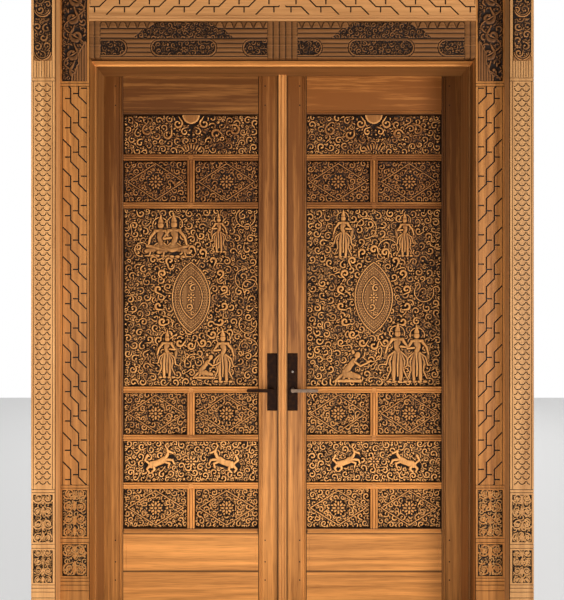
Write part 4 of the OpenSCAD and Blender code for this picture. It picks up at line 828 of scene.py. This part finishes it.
def sun_carving(width, height, seed):
    carving = Carving(width, height, 0.0025, seed)

    def keep_out(x, z, radius):
        return abs(x) < 0.10 and z > -0.02

    carving.pack([0.020, 0.015, 0.011, 0.008, 0.0055, 0.004], keep_out, 0.0105, 0.93)
    z0 = height / 2
    carving.clear([(x, z0 - 0.02) for x in np.linspace(-0.05, 0.05, 7)], 0.030, 0.003)
    for sign in (-1, 1):
        carving.scroll(sign * 0.062, z0 - 0.040, 0.026, math.pi / 2 + sign * 0.6, sign, 0.014)
        carving.scroll(sign * 0.030, z0 - 0.078, 0.020, math.pi / 2, -sign, 0.013)
        carving.scroll(sign * 0.115, z0 - 0.090, 0.028, 0.4, sign, 0.0125)
        carving.scroll(sign * 0.205, z0 - 0.070, 0.030, 2.0, -sign, 0.012)
    for k in range(-3, 4):
        carving.dome(k * 0.013, -z0 + 0.040 - abs(k) * 0.004, 0.020, 0.0125, 0.32, math.pi / 2 - k * 0.22)
    xx, zz = np.meshgrid(carving.x, carving.z)
    disc = np.hypot(xx, zz - z0)
    carving.h[disc < 0.046] = 0.002
    carving.h[disc < 0.041] = 0.0125
    carving.plain[disc < 0.041] = 1
    return carving


for number, side in enumerate(("left", "right")):
    node = f"{side}_sun_panel"
    low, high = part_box(node)
    carving = sun_carving(high.x - low.x - 0.014, high.z - low.z - 0.014, 21 + number)
    finish_panel(f"{side}_top_carving", node, side, [(carving, (low.x + high.x) / 2, (low.z + high.z) / 2)],
                 carved_teak(f"{side.capitalize()} top panel teak", board=84 + number))

# The wide lower panels: pairs of beasts that leap among leaves, with a flower between them.
for number, side in enumerate(("left", "right")):
    node = f"{side}_beast_panel"
    low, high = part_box(node)
    carving = Carving(high.x - low.x - 0.014, high.z - low.z - 0.014, 0.0025, 31 + number)
    carving.pack([0.019, 0.014, 0.0105, 0.008, 0.0055, 0.004], None, 0.0105, 0.93)
    if side == "left":
        beast(carving, -0.150, -0.050, 0.140)
        beast(carving, 0.155, -0.050, 0.140, -1)
    else:
        beast(carving, -0.130, -0.045, 0.130)
        beast(carving, 0.150, -0.048, 0.135, -1, False)
    for k in range(8):
        t = k * math.pi / 4
        carving.dome(0.016 * math.cos(t), 0.016 * math.sin(t), 0.013, 0.0125, 0.55, t)
    carving.dome(0, 0, 0.008, 0.0145)
    # Painted light: the beast panels' colour is lighter and their painted shade towards the top weaker than the other
    # panels'.
    finish_panel(f"{side}_beast_carving", node, side, [(carving, (low.x + high.x) / 2, (low.z + high.z) / 2)],
                 carved_teak(f"{side.capitalize()} beast panel teak", light=(0.98, 0.48, 0.16), board=88 + number, shade=0.2))

# The six small panels of a leaf: a beaded lozenge round a flower, with vines in the corners.


def lozenge_carving(width, height, seed):
    carving = Carving(width, height, 0.0028, seed)
    carving.pack([0.017, 0.0125, 0.009, 0.0062, 0.0045], None, 0.0105, 0.93)
    a, b = width * 0.44, height * 0.44
    corners = [(-a, 0), (0, b), (a, 0), (0, -b), (-a, 0)]
    for p, q in zip(corners, corners[1:]):
        carving.clear([(p[0] + (q[0] - p[0]) * t, p[1] + (q[1] - p[1]) * t) for t in np.linspace(0, 1, 25)], 0.005)
    carving.stroke(corners, [0.0030] * 2, [0.0115] * 2)
    carving.clear([(0, 0)], 0.040)
    for k in range(8):
        t = k * math.pi / 4
        carving.dome(0.019 * math.cos(t), 0.019 * math.sin(t), 0.013, 0.012, 0.55, t)
        carving.dome(0.031 * math.cos(t + 0.39), 0.031 * math.sin(t + 0.39), 0.0075, 0.010, 0.7, t + 0.39)
    carving.dome(0, 0, 0.009, 0.0145)
    for sx in (-1, 1):
        for sz in (-1, 1):
            carving.scroll(sx * width * 0.20, sz * height * 0.13, 0.015, sx * 1.2, sx * sz, 0.012)
    return carving


for number, side in enumerate(("left", "right")):
    node = f"{side}_small_panels"
    low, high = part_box(node)
    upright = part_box(f"{side}_upright_bars")
    bars = [v.co for v in nodes[f"{side}_upright_bars"].data.vertices]
    levels = sorted({round(co.z, 3) for co in bars})
    rows = [levels[i:i + 2] for i in range(0, len(levels) - 1, 2)]
    inner_edge = {True: (low.x + 0.007, upright[0].x), False: (upright[1].x, high.x - 0.007)}
    parts = []
    for row, (z0, z1) in enumerate(rows):
        for first in (True, False):
            x0, x1 = inner_edge[first]
            carving = lozenge_carving(x1 - x0, z1 - z0, 41 + 10 * number + 2 * row + first)
            parts.append((carving, (x0 + x1) / 2, (z0 + z1) / 2))
    # The small panels get stronger painted shade towards the top than the other panels.
    finish_panel(f"{side}_small_carvings", node, side, parts,
                 carved_teak(f"{side.capitalize()} small panel teak", board=92 + number, shade=1.1))

# The locks' furniture: plates and levers of cast bronze, oil-rubbed nearly black, and the steel of
# the key cylinder.


def metal(name, colour, rough, worn, metallic=1.0):
    """Metal with cloudy patina."""
    mat = bpy.data.materials.new(name)
    mat.use_nodes = True
    tree = mat.node_tree
    shader = tree.nodes["Principled BSDF"]
    shader.inputs["Metallic"].default_value = metallic
    coords = tree.nodes.new("ShaderNodeTexCoord")
    cloud = tree.nodes.new("ShaderNodeTexNoise")
    cloud.inputs["Scale"].default_value = 55
    cloud.inputs["Detail"].default_value = 5
    tree.links.new(coords.outputs["Object"], cloud.inputs["Vector"])
    mix = tree.nodes.new("ShaderNodeMix")
    mix.data_type = "RGBA"
    mix.inputs[6].default_value = (*colour, 1)
    mix.inputs[7].default_value = (*worn, 1)
    spread = tree.nodes.new("ShaderNodeMapRange")
    spread.inputs["From Min"].default_value = 0.45
    spread.inputs["From Max"].default_value = 0.75
    tree.links.new(cloud.outputs["Fac"], spread.inputs["Value"])
    tree.links.new(spread.outputs["Result"], mix.inputs["Factor"])
    tree.links.new(mix.outputs[2], shader.inputs["Base Color"])
    gloss = tree.nodes.new("ShaderNodeMapRange")
    gloss.inputs["To Min"].default_value = rough
    gloss.inputs["To Max"].default_value = rough + 0.2
    tree.links.new(cloud.outputs["Fac"], gloss.inputs["Value"])
    tree.links.new(gloss.outputs["Result"], shader.inputs["Roughness"])
    return mat


bronze = metal("Oil-rubbed bronze", (0.011, 0.0034, 0.0012), 0.45, (0.030, 0.011, 0.003), 0.10)
bronze.node_tree.nodes["Principled BSDF"].inputs["Specular IOR Level"].default_value = 0.05
lock_steel = metal("Satin steel", (0.55, 0.55, 0.53), 0.28, (0.40, 0.40, 0.39))
for name in nodes:
    if "_plate" in name and name != "strike_plates" or "lever_" in name or name.startswith("hinge_") \
            or name.endswith("hinge_halves"):
        if not name.endswith("stile"):
            dress(name, bronze)
    elif name in ("strike_plates", "deadbolt") or "lock_case" in name or "follower" in name or "latch" in name:
        dress(name, lock_steel)
dress("right_key_cylinder" if "right_key_cylinder" in nodes else "key_cylinder", bronze)
# Painted reflection: the right outer lever is much lighter than the other bronze, as where it catches the light.
dress("right_lever_outside", metal("Rubbed bronze", (0.13, 0.080, 0.048), 0.40, (0.08, 0.046, 0.026), 0.5))
dress("key_plug", metal("Worn key plug", (0.26, 0.23, 0.20), 0.45, (0.15, 0.12, 0.10), 0.6))

# The screws of the handle plates and of the hinges: slotted bronze heads, each turned home by hand, so
# that no two slots stand alike. Each sits on a small facet that says where it is and which way it faces.


def screw_tree():
    """Geometry Nodes: a slotted head on each facet of the mesh, with its slot turned at random."""
    tree = bpy.data.node_groups.new("Slotted screws", "GeometryNodeTree")
    face = tree.interface
    face.new_socket("Facets", in_out="INPUT", socket_type="NodeSocketGeometry")
    for name, value in (("Head radius", 0.0035), ("Head height", 0.0008), ("Slot width", 0.0009)):
        face.new_socket(name, in_out="INPUT", socket_type="NodeSocketFloat").default_value = value
    face.new_socket("Metal", in_out="INPUT", socket_type="NodeSocketMaterial")
    face.new_socket("Screws", in_out="OUTPUT", socket_type="NodeSocketGeometry")
    add, link = tree.nodes.new, tree.links.new
    given, out = add("NodeGroupInput"), add("NodeGroupOutput")
    head = add("GeometryNodeMeshCylinder")
    head.inputs["Vertices"].default_value = 20
    link(given.outputs["Head radius"], head.inputs["Radius"])
    link(given.outputs["Head height"], head.inputs["Depth"])
    slot, size, place = add("GeometryNodeMeshCube"), add("ShaderNodeCombineXYZ"), add("ShaderNodeCombineXYZ")
    long = add("ShaderNodeMath")
    long.operation = "MULTIPLY"
    long.inputs[1].default_value = 2.4
    link(given.outputs["Head radius"], long.inputs[0])
    link(long.outputs[0], size.inputs["X"])
    link(given.outputs["Slot width"], size.inputs["Y"])
    link(given.outputs["Head height"], size.inputs["Z"])
    link(size.outputs[0], slot.inputs["Size"])
    raised = add("ShaderNodeMath")
    raised.operation = "MULTIPLY"
    raised.inputs[1].default_value = 0.6
    link(given.outputs["Head height"], raised.inputs[0])
    link(raised.outputs[0], place.inputs["Z"])
    move = add("GeometryNodeTransform")
    link(slot.outputs["Mesh"], move.inputs["Geometry"])
    link(place.outputs[0], move.inputs["Translation"])
    cut = add("GeometryNodeMeshBoolean")
    cut.operation = "DIFFERENCE"
    link(head.outputs["Mesh"], cut.inputs["Mesh 1"])
    link(move.outputs[0], cut.inputs["Mesh 2"])
    normal, kept = add("GeometryNodeInputNormal"), add("GeometryNodeCaptureAttribute")
    kept.domain = "FACE"
    kept.capture_items.new("VECTOR", "Facing")
    link(given.outputs["Facets"], kept.inputs["Geometry"])
    link(normal.outputs["Normal"], kept.inputs["Facing"])
    points = add("GeometryNodeMeshToPoints")
    points.mode = "FACES"
    link(kept.outputs["Geometry"], points.inputs["Mesh"])
    face_on = add("FunctionNodeAlignRotationToVector")
    face_on.axis = "Z"
    link(kept.outputs["Facing"], face_on.inputs["Vector"])
    spin, angle, turn = add("FunctionNodeRotateRotation"), add("FunctionNodeRandomValue"), add("FunctionNodeAxisAngleToRotation")
    spin.rotation_space = "LOCAL"
    angle.inputs[3].default_value = math.pi
    angle.inputs["Seed"].default_value = 5
    turn.inputs["Axis"].default_value = (0, 0, 1)
    link(angle.outputs[1], turn.inputs["Angle"])
    link(face_on.outputs["Rotation"], spin.inputs["Rotation"])
    link(turn.outputs["Rotation"], spin.inputs["Rotate By"])
    onto = add("GeometryNodeInstanceOnPoints")
    link(points.outputs["Points"], onto.inputs["Points"])
    link(cut.outputs["Mesh"], onto.inputs["Instance"])
    link(spin.outputs["Rotation"], onto.inputs["Rotation"])
    real, coat = add("GeometryNodeRealizeInstances"), add("GeometryNodeSetMaterial")
    link(onto.outputs["Instances"], real.inputs["Geometry"])
    link(real.outputs["Geometry"], coat.inputs["Geometry"])
    link(given.outputs["Metal"], coat.inputs["Material"])
    link(coat.outputs["Geometry"], out.inputs["Screws"])
    return tree


SCREWS = screw_tree()


def screws(name, body, facets, radius):
    """A body's screws from facets of (place, direction)."""
    corners, faces = [], []
    for place, direction in facets:
        side = Vector(direction).cross((0, 0, 1)).normalized() * 0.001
        faces.append(range(len(corners), len(corners) + 3))
        corners += [Vector(place) - side, Vector(place) + side, Vector(place) + Vector((0, 0, 0.001))]
    mesh = bpy.data.meshes.new(name)
    mesh.from_pydata(corners, [], [tuple(f) for f in faces])
    for face, (_, direction) in zip(mesh.polygons, facets):
        if face.normal.dot(Vector(direction)) < 0:
            face.flip()
    mesh.update()
    carrier = bpy.data.objects.new(name, mesh)
    bpy.context.scene.collection.objects.link(carrier)
    modifier = carrier.modifiers.new("Screws", "NODES")
    modifier.node_group = SCREWS
    named = {item.name: item.identifier for item in SCREWS.interface.items_tree if item.in_out == "INPUT"}
    modifier[named["Head radius"]] = radius
    modifier[named["Head height"]] = 0.0008
    modifier[named["Slot width"]] = radius * 0.26
    modifier[named["Metal"]] = bronze
    real = bpy.data.meshes.new_from_object(carrier.evaluated_get(bpy.context.evaluated_depsgraph_get()))
    carrier.modifiers.remove(modifier)
    carrier.data = real
    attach(carrier, body)


stile_low, stile_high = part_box("right_hinge_stile")
hinge_levels = [stile_low.z + 0.2 + k * (stile_high.z - stile_low.z - 0.4) / 3 for k in range(4)]
hinge_spots = [(0.030 + 0.006 * (k % 2), z + (k - 1) * 0.032) for z in hinge_levels for k in range(3)]
for side, sign in SIDE_SIGN.items():
    facets = []
    for plate, way in (("outside_plate", -1), ("inside_plate", 1)):
        low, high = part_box(f"{side}_{plate}")
        face_y = low.y if way < 0 else high.y
        facets += [(((low.x + high.x) / 2, face_y, z), (0, way, 0)) for z in (low.z + 0.014, high.z - 0.014)]
    facets += [((sign * stile_high.x, y, z), (sign, 0, 0)) for y, z in hinge_spots]
    screws(f"{side}_leaf_screws", f"{side}_leaf", facets, 0.0038)
jamb_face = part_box("hinge_frame_halves")[1].x - 0.0025
screws("frame_hinge_screws", "frame",
       [((sign * jamb_face, y, z), (-sign, 0, 0)) for sign in (-1, 1) for y, z in hinge_spots], 0.0038)

# The frieze, one long board of teak. Petals run along its top, with reeds under them, and clouds and
# round-ended fields of scrolls are carved between the reeds.


def frieze_carving(width, height):
    """The board's heights: the rows are shares of its height, and the fields lie by their distance out."""
    carving = Carving(width, height, 0.0024, 61)
    carving.pack([0.013, 0.0095, 0.007, 0.005, 0.0037], None, 0.0072, 0.93)
    xx, zz = np.meshgrid(np.abs(carving.x), carving.z)
    down = (height / 2 - zz) / height
    flower = [(0.428, -0.275 * height), (0.428, 0.30 * height)]
    for side in (-1, 1):
        for x, z in flower:
            for k in range(6):
                t = k * math.pi / 3
                carving.dome(side * x + 0.008 * math.cos(t), z + 0.008 * math.sin(t), 0.0075, 0.0082, 0.7, t)
    carved = carving.h * 0.85

    def reeds(v, pitch, low=0.0, high=0.0062):
        w = (v / pitch) % 1.0 * 2 - 1
        return low + (high - low) * np.sqrt(np.clip(1 - w * w, 0, 1))

    plain = np.full_like(carving.h, 0.0062)
    petals = down < 0.19
    u = (xx / 0.042) % 1.0 * 2 - 1
    v = down / 0.19
    petal = (np.abs(u) < 0.85 * np.sqrt(np.clip(v, 0, 1))) & (v > 0.12) & (v < 0.92)
    plain[petals] = 0.0
    plain[petals & petal] = 0.0066 - 0.002 * np.abs(u[petals & petal])
    upper = (down >= 0.20) & (down < 0.45)
    plain[upper] = reeds((down[upper] - 0.20), 0.125)
    lower = (down >= 0.485) & (down < 0.97)
    plain[lower] = reeds((down[lower] - 0.485), 0.121)
    for line in (0.0, 0.195, 0.455, 0.48, 0.975):
        plain[np.abs(down - line) < 0.009] = 0.0005
    out = np.abs(xx - 0.430)
    cloud = upper & (out < 0.215 - (0.45 - down) * height * 1.05)
    cloud |= (down >= 0.02) & (down < 0.21) & (out < 0.155 - (0.2 - down) * height * 1.4)
    half = height * 0.235
    row_mid = np.abs(down - 0.728) * height

    def capsule(x0, x1, open_in=False, open_out=False):
        near = np.clip(xx, x0 + (0 if open_in else half), x1 - (0 if open_out else half))
        return np.hypot(xx - near, row_mid)

    fields = cloud.copy()
    for span in ((0.286, 0.571), (0.675, 0.79, False, True), (0.065, 0.172, True, False)):
        d = capsule(*span)
        fields |= d < half - 0.006
        rim = (d >= half - 0.006) & (d < half)
        plain[rim] = 0.0075
        plain[(d >= half) & (d < half + 0.003)] = 0.0005
    ends = (xx < 0.066) | (xx > 0.788)
    fields &= ~ends
    plain[ends] = reeds(np.where(xx < 0.066, xx + 0.0135, xx - 0.788), 0.027)[ends]
    for ring in (0.42, 0.66):
        band = ends & (np.abs(down - ring) < 0.022)
        plain[band] += 0.0012
    carving.h = np.where(fields, carved, plain)
    carving.plain[~fields] = 1
    return carving


low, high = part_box("frieze")
carving = frieze_carving(high.x - low.x, high.z - low.z)
x_mid, z_mid = (low.x + high.x) / 2, (low.z + high.z) / 2
frieze_ground = low.y + 0.0062
frieze = mesh_piece("frieze_carving", [carved_board(carving, x_mid, z_mid, frieze_ground, high.y)],
                    carved_teak("Frieze teak", "X", (0.25, 0.104, 0.033), (0.045, 0.015, 0.004), 12, 0))
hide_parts("frieze")
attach(frieze, "frame")

# The carved blocks of the pilasters: small leaves and scrolls left standing between the large volutes,
# in the sunk fields. They are cut from the same boards.


def block(name, x0, x1, z0, z1, floor_y, seed, top=0.0062):
    """A field of foliage whose ground lies just over the sunk floor of its board."""
    carving = Carving(x1 - x0, z1 - z0, 0.0027, seed)
    carving.pack([0.015, 0.011, 0.008, 0.0055, 0.004], None, top, 0.93)
    board = carved_board(carving, (x0 + x1) / 2, (z0 + z1) / 2, floor_y, floor_y + 0.002)
    piece = mesh_piece(name, [board], block_teak)
    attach(piece, "frame")


def crown(name, x0, x1, z0, z1, front, seed, round_fields, inward):
    """The carving at a pilaster's head: rimmed round-ended fields on the outer post, a vine on the board."""
    carving = Carving(x1 - x0, z1 - z0, 0.0024, seed)
    carving.pack([0.020, 0.015, 0.011, 0.0075, 0.005], None, 0.0058, 0.93)
    half, foot = carving.width / 2, -carving.height / 2
    if round_fields:
        xx, zz = np.meshgrid(carving.x, carving.z)
        reach = half - 0.002
        capsule = np.hypot(xx, zz - np.clip(zz, foot + half, foot + 0.150))
        ring = np.hypot(xx, zz - (foot + 0.182 + half))
        above = zz > foot + 0.182 + half
        plain = (capsule > reach) & (zz < foot + half)
        carving.h[plain] = 0.0030
        carving.plain[plain] = 1
        carving.h[(zz > foot + 0.176) & (ring > reach) & ~above] *= 0.4
        for centre in (foot + half, foot + 0.182 + half):
            t = np.linspace(math.pi * 1.02, math.pi * 1.98, 30)
            rim = np.stack([reach * np.cos(t), centre + reach * np.sin(t)], 1)
            carving.clear(rim, 0.0065)
            carving.stroke(rim, [0.0024, 0.0042, 0.0024], [0.0062, 0.0078, 0.0062])
            inner = np.stack([(reach - 0.008) * np.cos(t), centre + (reach - 0.008) * np.sin(t)], 1)
            carving.stroke(inner, [0.0016] * 2, [0.0062] * 2)
    else:
        volutes, t = 5, np.linspace(0, 1, 60)
        middles = [(half * 0.16 * (-1) ** k, foot + carving.height * (k + 0.5) / volutes) for k in range(volutes)]
        carving.clear(middles, half * 0.78)
        carving.stroke(np.stack([0.80 * half * np.cos(t * math.pi * volutes), foot + t * carving.height], 1),
                       [0.0042] * 2, [0.0070] * 2)
        for k, (x, z) in enumerate(middles):
            hand = (-1) ** k
            carving.scroll(x, z, half * 0.60, math.pi / 2 + 0.7 * hand, hand, 0.0072, 0.26)
            carving.leaf(x - 0.8 * hand * half, z + 0.018, 0.026, math.pi / 2 + hand, 0.0066)
        levels = np.array([0, 0.030, 0.035, 0.066, 0.071, 0.120, 0.170])
        reaches = np.array([0.62, 0.55, 0.45, 0.40, 0.33, 0.31, 0.05]) * carving.width
        xx, zz = np.meshgrid(half - inward * carving.x, carving.z - foot)
        reeded = (xx < np.interp(zz, levels, reaches)) & (zz < levels[-1])
        across = (xx / 0.0115) % 1 * 2 - 1
        carving.h[reeded] = (0.0046 * np.sqrt(np.clip(1 - across * across, 0, 1)))[reeded]
        carving.plain[reeded] = 1
        carving.stroke(np.stack([inward * (half - reaches), foot + levels], 1), [0.0026] * 2, [0.0072] * 2)
    board = carved_board(carving, (x0 + x1) / 2, (z0 + z1) / 2, front - 0.0003, front + 0.001)
    piece = mesh_piece(name, [board], post_crown_teak if round_fields else board_crown_teak)
    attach(piece, "frame")


block_teak = carved_teak("Block teak", "Z", (0.50, 0.25, 0.083), (0.13, 0.047, 0.012), 13, 0)
post_crown_teak = carved_teak("Post crown teak", "Z", (0.41, 0.180, 0.058), (0.10, 0.034, 0.009), 14, 0)
board_crown_teak = carved_teak("Board crown teak", "Z", (0.27, 0.110, 0.036), (0.030, 0.010, 0.003), 15, 0)
BLOCK_LEVELS = {
    "inner": ((0.264, 0.401), (0.436, 0.636)),
    "outer": ((0.264, 0.401), (0.436, 0.636)),
}
bead = 0.0088
for number, side in enumerate(("left", "right")):
    sign = SIDE_SIGN[side]
    for board, front, x_in, x_out in (
        ("inner", inner_front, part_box("inner_pilaster_right")[0].x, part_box("inner_pilaster_right")[1].x),
        ("outer", outer_front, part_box("inner_pilaster_right")[1].x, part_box("outer_pilasters")[1].x),
    ):
        x0, x1 = sorted((sign * (x_in + bead), sign * (x_out - bead)))
        for level, (z0, z1) in enumerate(BLOCK_LEVELS[board]):
            block(f"{side}_{board}_block_{level}", x0, x1, z0, z1, front + 0.0046, 70 + 10 * number + level)
        if board == "outer":
            x0, x1 = x0 + 0.0045, x1 - 0.0045
        crown(f"{side}_{board}_crown", x0, x1, 2.408 if board == "inner" else 2.472, 2.797, front,
              90 + 10 * number + (board == "outer"), board == "outer", -sign)

# The studio: a pale floor and backdrop, soft lamps in front, and a camera on the doorway's middle at
# the height of an adult's eyes.
EYE_HEIGHT = 1.460
EYE_DISTANCE = 2.538
FOCAL_SHARE = 585.8 / 600
floor_mesh = bpy.data.meshes.new("studio_floor")
floor_mesh.from_pydata([(-12, -12, 0), (12, -12, 0), (12, 12, 0), (-12, 12, 0)], [], [(0, 1, 2, 3)])
floor = bpy.data.objects.new("studio_floor", floor_mesh)
wall_mesh = bpy.data.meshes.new("studio_backdrop")
wall_mesh.from_pydata([(-12, 6, 0), (12, 6, 0), (12, 6, 12), (-12, 6, 12)], [], [(0, 3, 2, 1)])
wall = bpy.data.objects.new("studio_backdrop", wall_mesh)


def plain_stage(name, colour, white):
    """A matt stage surface, which the camera and mirrors see as that share of plain white."""
    mat = bpy.data.materials.new(name)
    mat.use_nodes = True
    tree = mat.node_tree
    shader = tree.nodes["Principled BSDF"]
    shader.inputs["Base Color"].default_value = colour
    shader.inputs["Roughness"].default_value = 0.85
    if white:
        glow, pick = tree.nodes.new("ShaderNodeEmission"), tree.nodes.new("ShaderNodeMixShader")
        share = tree.nodes.new("ShaderNodeMath")
        share.operation = "MULTIPLY"
        share.inputs[1].default_value = white
        tree.links.new(seen_by_camera(tree), share.inputs[0])
        tree.links.new(share.outputs[0], pick.inputs[0])
        tree.links.new(shader.outputs[0], pick.inputs[1])
        tree.links.new(glow.outputs[0], pick.inputs[2])
        tree.links.new(pick.outputs[0], tree.nodes["Material Output"].inputs["Surface"])
    return mat


def seen_by_camera(tree):
    """1 where a ray comes from the camera, or from a mirror or glass."""
    path = tree.nodes.new("ShaderNodeLightPath")
    last = path.outputs["Is Camera Ray"]
    for name in ("Is Glossy Ray", "Is Transmission Ray"):
        largest = tree.nodes.new("ShaderNodeMath")
        largest.operation = "MAXIMUM"
        tree.links.new(last, largest.inputs[0])
        tree.links.new(path.outputs[name], largest.inputs[1])
        last = largest.outputs[0]
    return last


for stage, mat in ((floor, plain_stage("Pale floor", (0.82, 0.81, 0.79, 1), 0.5)),
                   (wall, plain_stage("White backdrop", (0.82, 0.82, 0.82, 1), 1.0))):
    bpy.context.scene.collection.objects.link(stage)
    stage.data.materials.append(mat)


def lamp(name, place, aim, size, power, colour=(1, 1, 1)):
    """A square soft box at a place, turned to face a point."""
    light = bpy.data.lights.new(name, "AREA")
    light.size = size
    light.energy = power
    light.color = colour
    thing = bpy.data.objects.new(name, light)
    thing.location = place
    thing.rotation_euler = (Vector(aim) - Vector(place)).to_track_quat("-Z", "Y").to_euler()
    thing.visible_camera = False
    bpy.context.scene.collection.objects.link(thing)


lamp("key_lamp", (4.6, -5.4, 1.5), (0, 0, 1.1), 2.1, 300, (1.0, 0.98, 0.95))
lamp("fill_lamp", (-1.6, -4.8, 1.0), (0, 0, 0.9), 1.8, 70, (1.0, 0.99, 0.97))
lamp("low_lamp", (0.3, -2.6, 0.35), (0, -0.1, 1.9), 1.0, 22, (1.0, 0.98, 0.95))
lamp("bounce_lamp", (0, -1.35, 0.12), (0, -0.15, 2.6), 0.9, 7, (1.0, 0.98, 0.95))
lamp("back_lamp", (0.5, 4.8, 3.4), (0, 0, 1.2), 3.0, 130)

world = bpy.data.worlds.new("Studio")
bpy.context.scene.world = world
world.use_nodes = True
sky = world.node_tree.nodes["Background"]
sky.inputs["Color"].default_value = (1, 1, 1, 1)
strength = world.node_tree.nodes.new("ShaderNodeMapRange")
strength.inputs["To Min"].default_value = 0.14
strength.inputs["To Max"].default_value = 1.0
world.node_tree.links.new(seen_by_camera(world.node_tree), strength.inputs["Value"])
world.node_tree.links.new(strength.outputs["Result"], sky.inputs["Strength"])

view = bpy.data.cameras.new("Viewpoint")
view.sensor_width = 36
view.lens = 36 * FOCAL_SHARE
view.clip_end = 60
camera = bpy.data.objects.new("Viewpoint", view)
camera.location = (-0.002, inner_front - EYE_DISTANCE, EYE_HEIGHT)
camera.rotation_euler = (math.pi / 2, 0, 0)
bpy.context.scene.collection.objects.link(camera)
bpy.context.scene.camera = camera
bpy.context.scene.view_settings.view_transform = "Standard"
